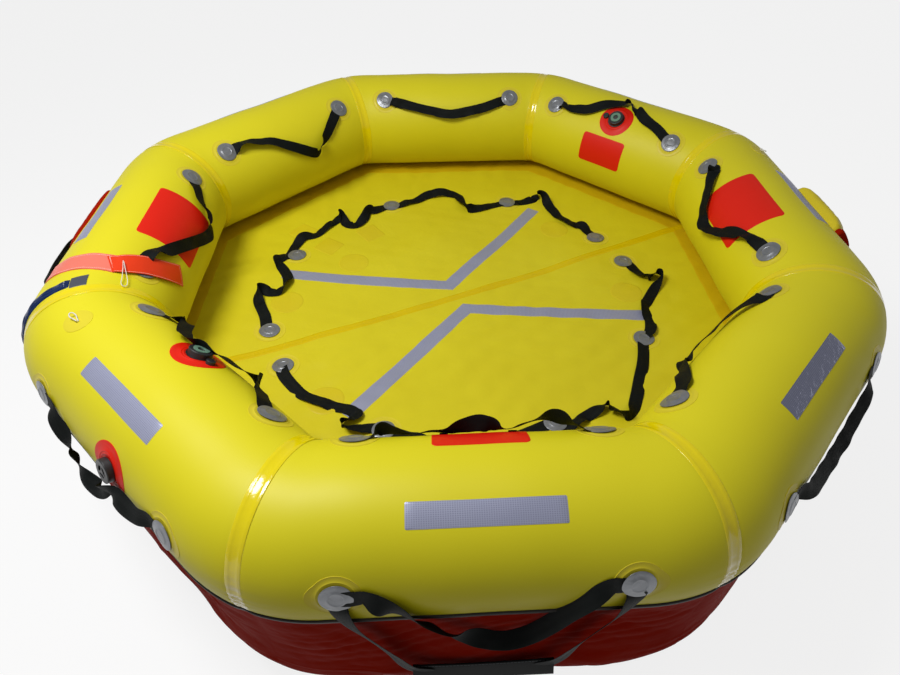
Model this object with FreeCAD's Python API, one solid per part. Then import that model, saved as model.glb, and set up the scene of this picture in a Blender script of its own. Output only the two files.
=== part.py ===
"""Inflatable liferaft: an open octagonal raft with two buoyancy tubes and a floor between them.

The raft stands inflated on the ground. +Z is up, the origin is on the ground under the raft's
centre, and the front side faces -Y. All lengths are in millimetres and all angles in degrees.
"""

import FreeCAD, Part
import math
import os

from FreeCAD import Placement, Rotation, Vector

os.makedirs("parts", exist_ok=True)

# Ring of the two buoyancy tubes
RING_APOTHEM = 1000.0  # raft centre to the middle of each side's centreline
UPPER_RADIUS = 182.0
LOWER_RADIUS = 175.0
CREASE_RADIUS = 48.0  # plan radius left on the inside of each corner
BOND_HALF_WIDTH = 45.0  # flat band where the two tubes press on the floor's edge
FOOT_HALF_WIDTH = 30.0  # flat band that the lower tube rests on
FABRIC = 2.0  # floor fabric
SEAM_TAPE_WIDTH = 34.0
SEAM_TAPE_THICKNESS = 1.2

# Joint between the tubes, on the outside
STRIP_WIDTH = 20.0
STRIP_THICKNESS = 2.0
STRIP_ANGLE = -19.5  # lower edge of the black strip, below the upper tube's outer side
SKIRT_THICKNESS = 1.5

# Tapes and patches
REFLECTOR_LENGTH = 300.0
REFLECTOR_WIDTH = 50.0
REFLECTOR_THICKNESS = 0.6
REFLECTOR_ANGLE = 63.5  # on the tube, up from its outer side
PATCH_RADIUS = 51.0
PATCH_THICKNESS = 1.0
LABEL_THICKNESS = 0.8

# Webbing and the discs that hold it
DISC_RADIUS = 33.0
DISC_THICKNESS = 2.6
DISC_RIM_RADIUS = 16.0
DISC_RIM_WIDTH = 3.0
DISC_RIM_HEIGHT = 0.8
WEBBING_WIDTH = 38.0
WEBBING_THICKNESS = 1.4
WEBBING_TAIL = 14.0  # webbing past a disc's centre
INNER_DISC_SPAN = 257.0  # side's middle to each inner disc
INNER_DISC_ANGLE = 132.0
OUTER_DISC_SPAN = 280.0
OUTER_DISC_ANGLE = 15.0
FIT = 0.05  # play in a glued stack

# Floor
FLOOR_SEAM_ANGLE = 22.5  # the floor's two panels meet on this diameter
FLOOR_SEAM_WIDTH = 30.0
FLOOR_DISC_CIRCLE = 640.0
FLOOR_DISC_ANGLES = (8.0, 46.0, 90.0, 134.0, 172.0)  # from the floor seam
FLOOR_LINE_SLACK = 28.0
CHEVRON_OFFSET = 70.0  # floor seam to the middle of each chevron's tip
CHEVRON_LEG = 600.0
CHEVRON_SLOPE = 30.0  # between a chevron's leg and the floor seam
SHADE_PATCH_RADIUS = 55.0
SHADE_PATCH_SIDE = 85.0
SHADE_PATCH_THICKNESS = 0.4

# Valves
VALVE_PATCH_RADIUS = 65.0
VALVE_BODY_RADIUS = 28.5
VALVE_BODY_HEIGHT = 14.0
VALVE_BORE_RADIUS = 15.0
POPPET_RADIUS = 11.0
POPPET_HEAD = 3.0
POPPET_STEM_RADIUS = 3.0
POPPET_TRAVEL = 3.0
RELIEF_TRAVEL = 2.0
CAP_RADIUS = 11.0
CAP_HEIGHT = 9.0
TETHER_WIDTH = 4.0

FRONT = -90.0  # direction that the front side faces
TURN = 45.0
SIDES = ("front", "front_right", "right", "back_right", "back", "back_left", "left", "front_left")
SIDE_ANGLE = {name: FRONT + TURN * index for index, name in enumerate(SIDES)}

# Worked out from the sizes above
BEND_RADIUS = UPPER_RADIUS + CREASE_RADIUS
HALF_TURN = math.radians(TURN / 2)
STRAIGHT_HALF = (RING_APOTHEM - BEND_RADIUS) * math.tan(HALF_TURN)


def flat_depth(radius, half_width):
    """Distance from a circle's centre to a flat of that half width."""
    return math.sqrt(radius**2 - half_width**2)


LOWER_Z = flat_depth(LOWER_RADIUS, FOOT_HALF_WIDTH)
FLOOR_BOTTOM = LOWER_Z + flat_depth(LOWER_RADIUS, BOND_HALF_WIDTH)
FLOOR_TOP = FLOOR_BOTTOM + FABRIC
UPPER_Z = FLOOR_TOP + flat_depth(UPPER_RADIUS, BOND_HALF_WIDTH)


def save(name, shape):
    """Write one node's STEP file."""
    shape.exportStep(os.path.join("parts", name + ".step"))


def turned(shape, degrees, axis=Vector(0, 0, 1), centre=Vector(0, 0, 0)):
    """A copy of the shape, turned about an axis."""
    copy = shape.copy()
    copy.rotate(centre, axis, degrees)
    return copy


def point_on_circle(radius, degrees, height=0.0):
    """Point at an angle in an X-Z section, with height added to Z."""
    angle = math.radians(degrees)
    return Vector(radius * math.cos(angle), 0, radius * math.sin(angle) + height)


def sector(inner, outer, start, end):
    """Face between two radii and two angles, in the X-Z plane."""
    middle = (start + end) / 2
    rim = Part.Arc(point_on_circle(outer, start), point_on_circle(outer, middle), point_on_circle(outer, end))
    hub = Part.Arc(point_on_circle(inner, end), point_on_circle(inner, middle), point_on_circle(inner, start))
    side_a = Part.LineSegment(point_on_circle(inner, start), point_on_circle(outer, start))
    side_b = Part.LineSegment(point_on_circle(outer, end), point_on_circle(inner, end))
    edges = [side_a.toShape(), rim.toShape(), side_b.toShape(), hub.toShape()]
    return Part.Face(Part.Wire(edges))


def side_length_of(face):
    """Sweep a tube section along one side of the ring: a straight run and half a bend at each end.

    The section stands in the X-Z plane with the tube's centreline at X = 0.
    """
    section = face.copy()
    section.translate(Vector(RING_APOTHEM, -STRAIGHT_HALF, 0))
    run = section.extrude(Vector(0, 2 * STRAIGHT_HALF, 0))
    pieces = [run]
    for end in (-1, 1):
        section = face.copy()
        section.translate(Vector(RING_APOTHEM, end * STRAIGHT_HALF, 0))
        hinge = Vector(RING_APOTHEM - BEND_RADIUS, end * STRAIGHT_HALF, 0)
        pieces.append(section.revolve(hinge, Vector(0, 0, 1), end * TURN / 2))
    return pieces[0].fuse(pieces[1:]).removeSplitter().Solids[0]


def tube_section(radius, foot_half_width):
    """Circle with a flat on the side towards the floor, and one more where it rests, if any."""
    top = math.degrees(math.asin(BOND_HALF_WIDTH / radius))
    foot = math.degrees(math.asin(foot_half_width / radius))
    right = Part.Arc(
        point_on_circle(radius, 90 - top),
        point_on_circle(radius, 0),
        point_on_circle(radius, -90 + foot),
    )
    left = Part.Arc(
        point_on_circle(radius, -90 - foot),
        point_on_circle(radius, 180),
        point_on_circle(radius, 90 + top),
    )
    edges = [right.toShape()]
    if foot_half_width:
        flat = Part.LineSegment(point_on_circle(radius, -90 + foot), point_on_circle(radius, -90 - foot))
        edges.append(flat.toShape())
    edges.append(left.toShape())
    bond = Part.LineSegment(point_on_circle(radius, 90 + top), point_on_circle(radius, 90 - top))
    edges.append(bond.toShape())
    return Part.Face(Part.Wire(edges))


def on_upper_tube(shape, side, along=0.0, around=0.0):
    """Place a shape made round a tube on the Y axis onto one side of the upper tube.

    The shape is made for the tube's outer side, +X. Around turns it up over the tube's top.
    """
    placed = turned(shape, -around, Vector(0, 1, 0))
    placed.translate(Vector(RING_APOTHEM, along, UPPER_Z))
    return turned(placed, SIDE_ANGLE[side])


def tube_point(side, along, around, height):
    """Point at a height over the upper tube's skin."""
    local = point_on_circle(UPPER_RADIUS + height, around, UPPER_Z)
    local += Vector(RING_APOTHEM, along, 0)
    return Rotation(Vector(0, 0, 1), SIDE_ANGLE[side]).multVec(local)


def wrapped_round(radius, bottom, thickness, hole=0.0):
    """Round piece that follows the tube's skin, from a height over the skin."""
    inner = UPPER_RADIUS + bottom
    outer = inner + thickness
    length = 2 * radius + 10
    start = Vector(0, -length / 2, 0)
    shell = Part.makeCylinder(outer, length, start, Vector(0, 1, 0))
    shell = shell.cut(Part.makeCylinder(inner, length, start, Vector(0, 1, 0)))
    punch = Part.makeCylinder(radius, outer + 5, Vector(0, 0, 0), Vector(1, 0, 0))
    if hole:
        punch = punch.cut(Part.makeCylinder(hole, outer + 5, Vector(0, 0, 0), Vector(1, 0, 0)))
    return shell.common(punch)


def wrapped_strip(length, arc_width, bottom, thickness):
    """Rectangular piece that follows the tube's skin, with its length along the tube."""
    inner = UPPER_RADIUS + bottom
    half = math.degrees(arc_width / 2 / UPPER_RADIUS)
    strip = sector(inner, inner + thickness, -half, half).extrude(Vector(0, length, 0))
    strip.translate(Vector(0, -length / 2, 0))
    return strip


def disc(radius, bottom):
    """Webbing anchor disc wrapped on the tube, with a raised ring."""
    plate = wrapped_round(radius, bottom, DISC_THICKNESS)
    rim = wrapped_round(
        DISC_RIM_RADIUS + DISC_RIM_WIDTH / 2,
        bottom + DISC_THICKNESS,
        DISC_RIM_HEIGHT,
        DISC_RIM_RADIUS - DISC_RIM_WIDTH / 2,
    )
    return plate.fuse(rim).removeSplitter().Solids[0]


def ribbon(stations, width, thickness):
    """Flat band through stations of (point, face direction). The band's underside is on the points."""
    points = [station[0] for station in stations]
    wires = []
    for index, (point, up) in enumerate(stations):
        before = points[max(index - 1, 0)]
        after = points[min(index + 1, len(points) - 1)]
        run = (after - before).normalize()
        across = run.cross(up).normalize()
        face = across.cross(run).normalize()
        corners = [
            point - across * (width / 2),
            point + across * (width / 2),
            point + across * (width / 2) + face * thickness,
            point - across * (width / 2) + face * thickness,
        ]
        wires.append(Part.makePolygon(corners + [corners[0]]))
    return Part.makeLoft(wires, True, True)


# Buoyancy tubes
# Each tube is welded from eight mitred panels. A panel is one side of the ring, solid here
# because the inflated tube is sealed.

upper_section = tube_section(UPPER_RADIUS, 0)
upper_section.rotate(Vector(0, 0, 0), Vector(1, 0, 0), 180)
upper_section.translate(Vector(0, 0, UPPER_Z))
upper_panel = side_length_of(upper_section)

lower_section = tube_section(LOWER_RADIUS, FOOT_HALF_WIDTH)
lower_section.translate(Vector(0, 0, LOWER_Z))
lower_panel = side_length_of(lower_section)

for side in SIDES:
    save("upper_tube_" + side, turned(upper_panel, SIDE_ANGLE[side]))
    save("lower_tube_" + side, turned(lower_panel, SIDE_ANGLE[side]))

# Seam tapes over the upper tube's eight corners, from the black strip over the top to the floor
strip_span = math.degrees(STRIP_WIDTH / UPPER_RADIUS)
tape_start = STRIP_ANGLE + strip_span + 0.2
bond_depth = flat_depth(UPPER_RADIUS, BOND_HALF_WIDTH)
bond_edge = math.degrees(math.acos(bond_depth / (UPPER_RADIUS + SEAM_TAPE_THICKNESS)))
tape_end = 270 - bond_edge - 0.3
tape_face = sector(UPPER_RADIUS, UPPER_RADIUS + SEAM_TAPE_THICKNESS, tape_start, tape_end)
tape_face.translate(Vector(RING_APOTHEM, STRAIGHT_HALF, UPPER_Z))
bend_centre = Vector(RING_APOTHEM - BEND_RADIUS, STRAIGHT_HALF, 0)
tape_bend = tape_face.revolve(bend_centre, Vector(0, 0, 1), TURN)
slab_size = 4 * UPPER_RADIUS
slab = Part.makeBox(slab_size, SEAM_TAPE_WIDTH, slab_size)
slab_corner = Vector(RING_APOTHEM - BEND_RADIUS, STRAIGHT_HALF - SEAM_TAPE_WIDTH / 2, UPPER_Z - slab_size / 2)
slab.translate(slab_corner)
slab = turned(slab, TURN / 2, centre=bend_centre)
corner_tape = tape_bend.common(slab)
save(
    "upper_seam_tapes",
    Part.makeCompound([turned(corner_tape, SIDE_ANGLE[side]) for side in SIDES]),
)

# Outer joint of the two tubes
# A black strip runs round the upper tube, and an orange skirt hangs from it to the lower tube.

strip_face = sector(UPPER_RADIUS, UPPER_RADIUS + STRIP_THICKNESS, STRIP_ANGLE, STRIP_ANGLE + strip_span)
strip_face.translate(Vector(0, 0, UPPER_Z))
strip_side = side_length_of(strip_face)
save(
    "tube_joining_strip",
    Part.makeCompound([turned(strip_side, SIDE_ANGLE[side]) for side in SIDES]),
)

skirt_top = point_on_circle(UPPER_RADIUS, STRIP_ANGLE, UPPER_Z)
skirt_bottom_z = LOWER_Z + flat_depth(LOWER_RADIUS, skirt_top.x)
skirt_face_x = skirt_top.x + SKIRT_THICKNESS
skirt_corners = [
    skirt_top,
    Vector(skirt_face_x, 0, UPPER_Z + skirt_face_x * math.tan(math.radians(STRIP_ANGLE))),
    Vector(skirt_face_x, 0, skirt_bottom_z),
    Vector(skirt_top.x, 0, skirt_bottom_z),
]
skirt_face = Part.Face(Part.makePolygon(skirt_corners + [skirt_corners[0]]))
skirt_side = side_length_of(skirt_face)
save("tube_joining_skirt", Part.makeCompound([turned(skirt_side, SIDE_ANGLE[side]) for side in SIDES]))

# Floor
# Two half panels of coated fabric, clamped between the tubes and taped together on a diameter.


def octagon(apothem):
    """Closed outline of the ring's plan shape at an apothem."""
    corner = apothem / math.cos(HALF_TURN)
    angles = [math.radians(FRONT + TURN / 2 + TURN * index) for index in range(len(SIDES))]
    points = [Vector(corner * math.cos(angle), corner * math.sin(angle), 0) for angle in angles]
    return Part.makePolygon(points + [points[0]])


floor_edge = RING_APOTHEM + BOND_HALF_WIDTH
floor_plan = Part.Face(octagon(floor_edge)).extrude(Vector(0, 0, FABRIC))
half_plane = Part.makeBox(4 * floor_edge, 2 * floor_edge, FABRIC, Vector(-2 * floor_edge, 0, 0))
corner_cut = Part.makeCylinder(floor_edge / math.cos(HALF_TURN) - 25, FABRIC)
for name, turn_angle in (("floor_panel_back", FLOOR_SEAM_ANGLE), ("floor_panel_front", FLOOR_SEAM_ANGLE + 180)):
    half = floor_plan.common(turned(half_plane, turn_angle)).common(corner_cut)
    half.translate(Vector(0, 0, FLOOR_BOTTOM))
    save(name, half)

floor_seam_length = 2 * (RING_APOTHEM - BOND_HALF_WIDTH) / math.cos(HALF_TURN) - 60
floor_seam = Part.makeBox(floor_seam_length, FLOOR_SEAM_WIDTH, PATCH_THICKNESS)
floor_seam.translate(Vector(-floor_seam_length / 2, -FLOOR_SEAM_WIDTH / 2, FLOOR_TOP))
save("floor_seam_tape", turned(floor_seam, FLOOR_SEAM_ANGLE))


def chevron_leg():
    """One leg of a chevron beside the floor seam, mitred on the chevron's middle line."""
    leg = Part.makeBox(CHEVRON_LEG + REFLECTOR_WIDTH, REFLECTOR_WIDTH, REFLECTOR_THICKNESS)
    leg.translate(Vector(-REFLECTOR_WIDTH, -REFLECTOR_WIDTH / 2, FLOOR_TOP))
    leg = turned(leg, CHEVRON_SLOPE)
    leg.translate(Vector(0, CHEVRON_OFFSET, 0))
    right_half = Part.makeBox(
        2 * CHEVRON_LEG, 2 * CHEVRON_LEG, 10, Vector(0, -CHEVRON_LEG, FLOOR_TOP - 5)
    )
    return leg.common(right_half)


right_leg = chevron_leg()
left_leg = right_leg.mirror(Vector(0, 0, 0), Vector(1, 0, 0))
chevron = [right_leg, left_leg]
chevrons = [turned(leg, FLOOR_SEAM_ANGLE + half) for half in (0, 180) for leg in chevron]
save("floor_reflective_tapes", Part.makeCompound(chevrons))


def on_floor(shape, circle, degrees):
    """Place a shape on the floor at a distance from its centre and an angle from its seam."""
    placed = shape.copy()
    placed.translate(Vector(circle, 0, FLOOR_TOP))
    return turned(placed, degrees + FLOOR_SEAM_ANGLE)


# Patches that stiffen the floor between its fittings: round ones and square ones
shade_round = Part.makeCylinder(SHADE_PATCH_RADIUS, SHADE_PATCH_THICKNESS)
shade_square = Part.makeBox(SHADE_PATCH_SIDE, SHADE_PATCH_SIDE, SHADE_PATCH_THICKNESS)
shade_square.translate(Vector(-SHADE_PATCH_SIDE / 2, -SHADE_PATCH_SIDE / 2, 0))
shade_places = [(shade_round, 430.0, 128.0), (shade_round, 560.0, 22.0), (shade_round, 590.0, -24.0)]
shade_places += [(shade_round, 585.0, 159.0), (shade_round, 622.0, -153.5)]
shade_places += [(shade_square, 715.0, 122.0), (shade_square, 570.0, 124.0), (shade_square, 520.0, 106.0)]
save("floor_stiffening_patches", Part.makeCompound([on_floor(*place) for place in shade_places]))

# Reflective tapes on the upper tube, one on each side
reflector = wrapped_strip(REFLECTOR_LENGTH, REFLECTOR_WIDTH, 0, REFLECTOR_THICKNESS)
save(
    "tube_reflective_tapes",
    Part.makeCompound([on_upper_tube(reflector, side, 0, REFLECTOR_ANGLE) for side in SIDES]),
)

# Anchors of the grab lines
# A patch on the skin, the webbing's end on the patch, and a disc over the webbing.

WEBBING_BOTTOM = PATCH_THICKNESS + FIT
webbing_rise = math.hypot(UPPER_RADIUS + WEBBING_BOTTOM + WEBBING_THICKNESS, WEBBING_WIDTH / 2)
DISC_BOTTOM = webbing_rise - UPPER_RADIUS + FIT

anchor_patch = wrapped_round(PATCH_RADIUS, 0, PATCH_THICKNESS)
anchor_disc = disc(DISC_RADIUS, DISC_BOTTOM)
for place, span, around in (
    ("inner", INNER_DISC_SPAN, INNER_DISC_ANGLE),
    ("outer", OUTER_DISC_SPAN, OUTER_DISC_ANGLE),
):
    seats = [(side, end * span, around) for side in SIDES for end in (-1, 1)]
    save(place + "_anchor_patches", Part.makeCompound([on_upper_tube(anchor_patch, *seat) for seat in seats]))
    save(place + "_anchor_discs", Part.makeCompound([on_upper_tube(anchor_disc, *seat) for seat in seats]))

floor_patch = Part.makeCylinder(PATCH_RADIUS, PATCH_THICKNESS)
floor_disc_bottom = WEBBING_BOTTOM + WEBBING_THICKNESS + FIT
floor_disc = Part.makeCylinder(DISC_RADIUS, DISC_THICKNESS, Vector(0, 0, floor_disc_bottom))
rim_bottom = Vector(0, 0, floor_disc_bottom + DISC_THICKNESS)
floor_rim = Part.makeCylinder(DISC_RIM_RADIUS + DISC_RIM_WIDTH / 2, DISC_RIM_HEIGHT, rim_bottom)
rim_hole = Part.makeCylinder(DISC_RIM_RADIUS - DISC_RIM_WIDTH / 2, DISC_RIM_HEIGHT, rim_bottom)
floor_rim = floor_rim.cut(rim_hole)
floor_disc = floor_disc.fuse(floor_rim).removeSplitter().Solids[0]
floor_seats = [(FLOOR_DISC_CIRCLE, half * angle) for half in (1, -1) for angle in FLOOR_DISC_ANGLES]
save("floor_anchor_patches", Part.makeCompound([on_floor(floor_patch, *seat) for seat in floor_seats]))
save("floor_anchor_discs", Part.makeCompound([on_floor(floor_disc, *seat) for seat in floor_seats]))

# Grab lines
# Each side has one slack webbing inside and one outside, from disc to disc. The inner ones slide
# round the tube by a droop in degrees, the outer ones hang by a sag and stand off by a bulge.

INNER_DROOP = {
    "front": 14.0,
    "front_right": 30.0,
    "right": 30.0,
    "back_right": -28.0,
    "back": 20.0,
    "back_left": 34.0,
    "left": 36.0,
    "front_left": 22.0,
}
INNER_LIFT = 16.0
OUTER_SAG = {
    "front": 232.0,
    "front_right": 70.0,
    "right": 110.0,
    "back_right": 120.0,
    "back": 110.0,
    "back_left": 120.0,
    "left": 60.0,
    "front_left": 80.0,
}
OUTER_BULGE = {"front_right": 62.0, "front_left": 62.0}
OUTER_BULGE_ELSEWHERE = 22.0
LINE_STEPS = 16


def radial(side, around):
    """Direction away from the upper tube's centreline."""
    return (tube_point(side, 0, around, 1) - tube_point(side, 0, around, 0)).normalize()


def inner_line(side):
    """Webbing that lies slack on the tube's inner side, between the two inner discs."""
    stations = []
    end_run = INNER_DISC_SPAN + WEBBING_TAIL
    outward = radial(side, INNER_DISC_ANGLE)
    stations.append((tube_point(side, -end_run, INNER_DISC_ANGLE, WEBBING_BOTTOM), outward))
    for step in range(LINE_STEPS + 1):
        share = -1 + 2 * step / LINE_STEPS
        along = share * (INNER_DISC_SPAN - DISC_RADIUS)
        slack = (1 - share**2) ** 1.5
        around = INNER_DISC_ANGLE + INNER_DROOP[side] * slack
        height = WEBBING_BOTTOM + INNER_LIFT * slack
        stations.append((tube_point(side, along, around, height), radial(side, around)))
    stations.append((tube_point(side, end_run, INNER_DISC_ANGLE, WEBBING_BOTTOM), outward))
    return ribbon(stations, WEBBING_WIDTH, WEBBING_THICKNESS)


def hanging_line(side, sag, bulge):
    """Webbing that hangs on the outside, between the two outer discs."""
    up = radial(side, OUTER_DISC_ANGLE)
    outward = radial(side, 0)
    tail = OUTER_DISC_SPAN + WEBBING_TAIL
    patch_edge = OUTER_DISC_SPAN - PATCH_RADIUS - 6
    stations = []
    for along in (-tail, -patch_edge):
        stations.append((tube_point(side, along, OUTER_DISC_ANGLE, WEBBING_BOTTOM), up))
    for step in range(LINE_STEPS + 1):
        share = -1 + 2 * step / LINE_STEPS
        along = share * (patch_edge - 6)
        slack = (1 - share**2) ** 0.75
        stand_off = bulge * (1 - share**2) ** 0.3
        point = tube_point(side, along, OUTER_DISC_ANGLE, WEBBING_BOTTOM)
        point += outward * stand_off - Vector(0, 0, sag * slack)
        stations.append((point, up * (1 - slack) + outward * slack))
    for along in (patch_edge, tail):
        stations.append((tube_point(side, along, OUTER_DISC_ANGLE, WEBBING_BOTTOM), up))
    return ribbon(stations, WEBBING_WIDTH, WEBBING_THICKNESS)


save("inner_grab_lines", Part.makeCompound([inner_line(side) for side in SIDES]))
outer_lines = []
for side in SIDES:
    bulge = OUTER_BULGE.get(side, OUTER_BULGE_ELSEWHERE)
    outer_lines.append(hanging_line(side, OUTER_SAG[side], bulge))
save("outer_grab_lines", Part.makeCompound(outer_lines))

# Boarding strap: hangs from the front side's two outer discs and carries a step
STEP_LENGTH = 340.0
STEP_WIDTH = 60.0
STEP_THICKNESS = 6.0
STEP_DROP = 360.0  # discs' centres down to the step
STRAP_STAND_OFF = 4.0  # in front of the tube's outermost line
STRAP_TUCK = 6.3  # degrees below the disc's centre where the strap's end lies under the disc
STEP_DEPTH = STEP_DROP - UPPER_RADIUS * math.sin(math.radians(OUTER_DISC_ANGLE))


def boarding_strap():
    """Webbing from one front outer disc down, along through the step, and up to the other disc."""
    side = "front"
    disc_edge = OUTER_DISC_ANGLE - math.degrees(DISC_RADIUS / UPPER_RADIUS)
    outward = radial(side, 0)
    hang = WEBBING_BOTTOM + STRAP_STAND_OFF
    stations = []
    for end in (-1, 1):
        start = end * OUTER_DISC_SPAN
        branch = []
        for around in (OUTER_DISC_ANGLE - STRAP_TUCK, disc_edge):
            branch.append((tube_point(side, start, around, WEBBING_BOTTOM + 5 * FIT), radial(side, around)))
        top = tube_point(side, start, 0, hang)
        knee = tube_point(side, end * (STEP_LENGTH / 2 + 10), 0, hang) - Vector(0, 0, STEP_DEPTH)
        for share in (0, 0.35, 0.7):
            branch.append((top + (knee - top) * share, outward))
        branch.append((knee, outward))
        inside = tube_point(side, end * (STEP_LENGTH - STEP_WIDTH) / 2, 0, hang) - Vector(0, 0, STEP_DEPTH)
        branch.append((inside, outward))
        stations += branch if end == -1 else branch[::-1]
    return ribbon(stations, WEBBING_WIDTH, WEBBING_THICKNESS)


def boarding_step():
    """Stiff sleeve on the boarding strap."""
    slot_x = UPPER_RADIUS + WEBBING_BOTTOM + STRAP_STAND_OFF
    sleeve_x = slot_x + WEBBING_THICKNESS / 2 - STEP_THICKNESS / 2
    sleeve = Part.makeBox(STEP_THICKNESS, STEP_LENGTH, STEP_WIDTH)
    sleeve.translate(Vector(sleeve_x, -STEP_LENGTH / 2, -STEP_WIDTH / 2))
    sleeve = sleeve.makeFillet(STEP_THICKNESS / 3, sleeve.Edges)
    slot_thickness = WEBBING_THICKNESS + 2 * FIT
    slot_height = WEBBING_WIDTH + 2 * FIT
    slot = Part.makeBox(slot_thickness, 2 * STEP_LENGTH, slot_height)
    slot.translate(Vector(slot_x - FIT, -STEP_LENGTH, -slot_height / 2))
    mouth_length = STEP_WIDTH / 2 + 1
    for end in (-1, 1):
        mouth = Part.makeBox(slot_thickness, mouth_length, STEP_WIDTH - 5)
        mouth_y = end * (STEP_LENGTH / 2 - mouth_length / 2) - mouth_length / 2
        mouth.translate(Vector(slot_x - FIT, mouth_y + end, -STEP_WIDTH / 2 + 2.5))
        slot = slot.fuse(mouth)
    sleeve = sleeve.cut(slot)
    sleeve.translate(Vector(0, 0, -STEP_DEPTH))
    return on_upper_tube(sleeve, "front")


save("boarding_strap", boarding_strap())
save("boarding_step", boarding_step())

# Lifelines on the floor


def floor_line(half):
    """Slack webbing that runs under the five discs on one side of the floor seam."""
    stations = []
    up = Vector(0, 0, 1)
    tail = math.degrees(WEBBING_TAIL / FLOOR_DISC_CIRCLE)
    bends = ((0.15, 0.0), (0.3, 1.0), (0.5, 0.0), (0.7, -1.0), (0.85, 0.0))
    for index, angle in enumerate(FLOOR_DISC_ANGLES):
        if index == 0:
            stations.append((FLOOR_DISC_CIRCLE, angle - tail))
        stations.append((FLOOR_DISC_CIRCLE, angle))
        if index + 1 < len(FLOOR_DISC_ANGLES):
            step = FLOOR_DISC_ANGLES[index + 1] - angle
            for share, side_step in bends:
                stations.append((FLOOR_DISC_CIRCLE + FLOOR_LINE_SLACK * side_step, angle + step * share))
        else:
            stations.append((FLOOR_DISC_CIRCLE, angle + tail))
    points = []
    for circle, angle in stations:
        direction = math.radians(half * angle + FLOOR_SEAM_ANGLE)
        height = FLOOR_TOP + WEBBING_BOTTOM
        points.append((Vector(circle * math.cos(direction), circle * math.sin(direction), height), up))
    return ribbon(points, WEBBING_WIDTH, WEBBING_THICKNESS)


save("floor_lifeline_back", floor_line(1))
save("floor_lifeline_front", floor_line(-1))

# Valves
# Topping-off valves on the tube's inner side and relief valves on its outer side, one pair for
# each of the upper tube's two chambers. X is the way out of the tube.

TOPPING_PLACES = {"front_left": (-13.0, 128.5), "back_right": (-15.0, 126.0)}
RELIEF_PLACES = {"front_left": (55.0, 17.0), "back_right": (55.0, 17.0)}
SEAT = UPPER_RADIUS + PATCH_THICKNESS  # the patch's skin
SEAT_LIP = 1.5
GUIDE_CLEARANCE = 0.06
STOP_GAP = 0.3
GUIDE_TOP = VALVE_BODY_HEIGHT - SEAT_LIP - POPPET_HEAD - POPPET_TRAVEL - 2 * STOP_GAP
STEM_LENGTH = 2.0  # stem inside the guide
GUIDE_DEPTH = STEM_LENGTH + POPPET_TRAVEL + 2 * STOP_GAP


def post(radius, bottom, top):
    """Cylinder that stands out of the tube, between two heights over the patch."""
    return Part.makeCylinder(radius, top - bottom, Vector(SEAT + bottom, 0, 0), Vector(1, 0, 0))


def seated(shape):
    """Cut a shape to the patch's curved skin."""
    skin = Part.makeCylinder(SEAT, 300, Vector(0, -150, 0), Vector(0, 1, 0))
    return shape.cut(skin)


def valve_body(height):
    """Round body with a bore and a guide for the poppet's stem."""
    body = post(VALVE_BODY_RADIUS, -10, height)
    top_edges = [edge for edge in body.Edges if edge.BoundBox.XMin > SEAT + height - 0.1]
    body = body.makeFillet(2.5, top_edges)
    body = body.cut(post(VALVE_BORE_RADIUS, GUIDE_TOP, height + 1))
    guide_bottom = GUIDE_TOP - GUIDE_DEPTH
    body = body.cut(post(POPPET_STEM_RADIUS + GUIDE_CLEARANCE, guide_bottom, height + 1))
    return seated(body)


def topping_ring():
    """Seat ring pressed into the topping-off valve's bore. Its lip stops the poppet."""
    lip_bottom = VALVE_BODY_HEIGHT - SEAT_LIP
    ring = post(VALVE_BORE_RADIUS - FIT, lip_bottom, VALVE_BODY_HEIGHT)
    ring = ring.fuse(post(VALVE_BORE_RADIUS + 4, VALVE_BODY_HEIGHT, VALVE_BODY_HEIGHT + SEAT_LIP))
    return ring.cut(post(POPPET_RADIUS - 1.5, lip_bottom - 1, VALVE_BODY_HEIGHT + 3)).removeSplitter()


def poppet(head_bottom, head_radius, stem_bottom):
    """Round head on a stem."""
    head = post(head_radius, head_bottom, head_bottom + POPPET_HEAD)
    return head.fuse(post(POPPET_STEM_RADIUS, stem_bottom, head_bottom)).removeSplitter()


def relief_guard():
    """Three arms over the relief valve's bore, which keep the poppet in."""
    bottom = GUIDE_TOP + POPPET_HEAD + RELIEF_TRAVEL + 2 * STOP_GAP
    arms = post(6, bottom, VALVE_BODY_HEIGHT)
    for turn_angle in (0, 120, 240):
        arm = Part.makeBox(VALVE_BODY_HEIGHT - bottom, 5, VALVE_BORE_RADIUS + 1)
        arm.translate(Vector(SEAT + bottom, -2.5, 0))
        arms = arms.fuse(turned(arm, turn_angle, Vector(1, 0, 0)))
    return arms


def valve_cap():
    """Dust cap with its tail and the ring that holds it round the valve body, moulded as one."""
    cap_place = VALVE_BODY_RADIUS + CAP_RADIUS + 5
    ring = wrapped_round(VALVE_BODY_RADIUS + 3, PATCH_THICKNESS, 1.2, VALVE_BODY_RADIUS + FIT)
    tail = wrapped_strip(cap_place - VALVE_BODY_RADIUS - 1, TETHER_WIDTH, PATCH_THICKNESS, 1.2)
    tail.translate(Vector(0, (cap_place + VALVE_BODY_RADIUS + 1) / 2, 0))
    cap = post(CAP_RADIUS, -2, CAP_HEIGHT)
    rim_edges = [edge for edge in cap.Edges if edge.BoundBox.XMin > SEAT + CAP_HEIGHT - 0.1]
    cap = cap.makeFillet(1.5, rim_edges)
    cap.translate(Vector(0, cap_place, 0))
    return seated(cap.fuse([ring, tail]).removeSplitter())


valve_patch = wrapped_round(VALVE_PATCH_RADIUS, 0, PATCH_THICKNESS)
patch_places = list(TOPPING_PLACES.items()) + list(RELIEF_PLACES.items())
valve_patches = [on_upper_tube(valve_patch, side, *place) for side, place in patch_places]
save("valve_patches", Part.makeCompound(valve_patches))

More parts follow.
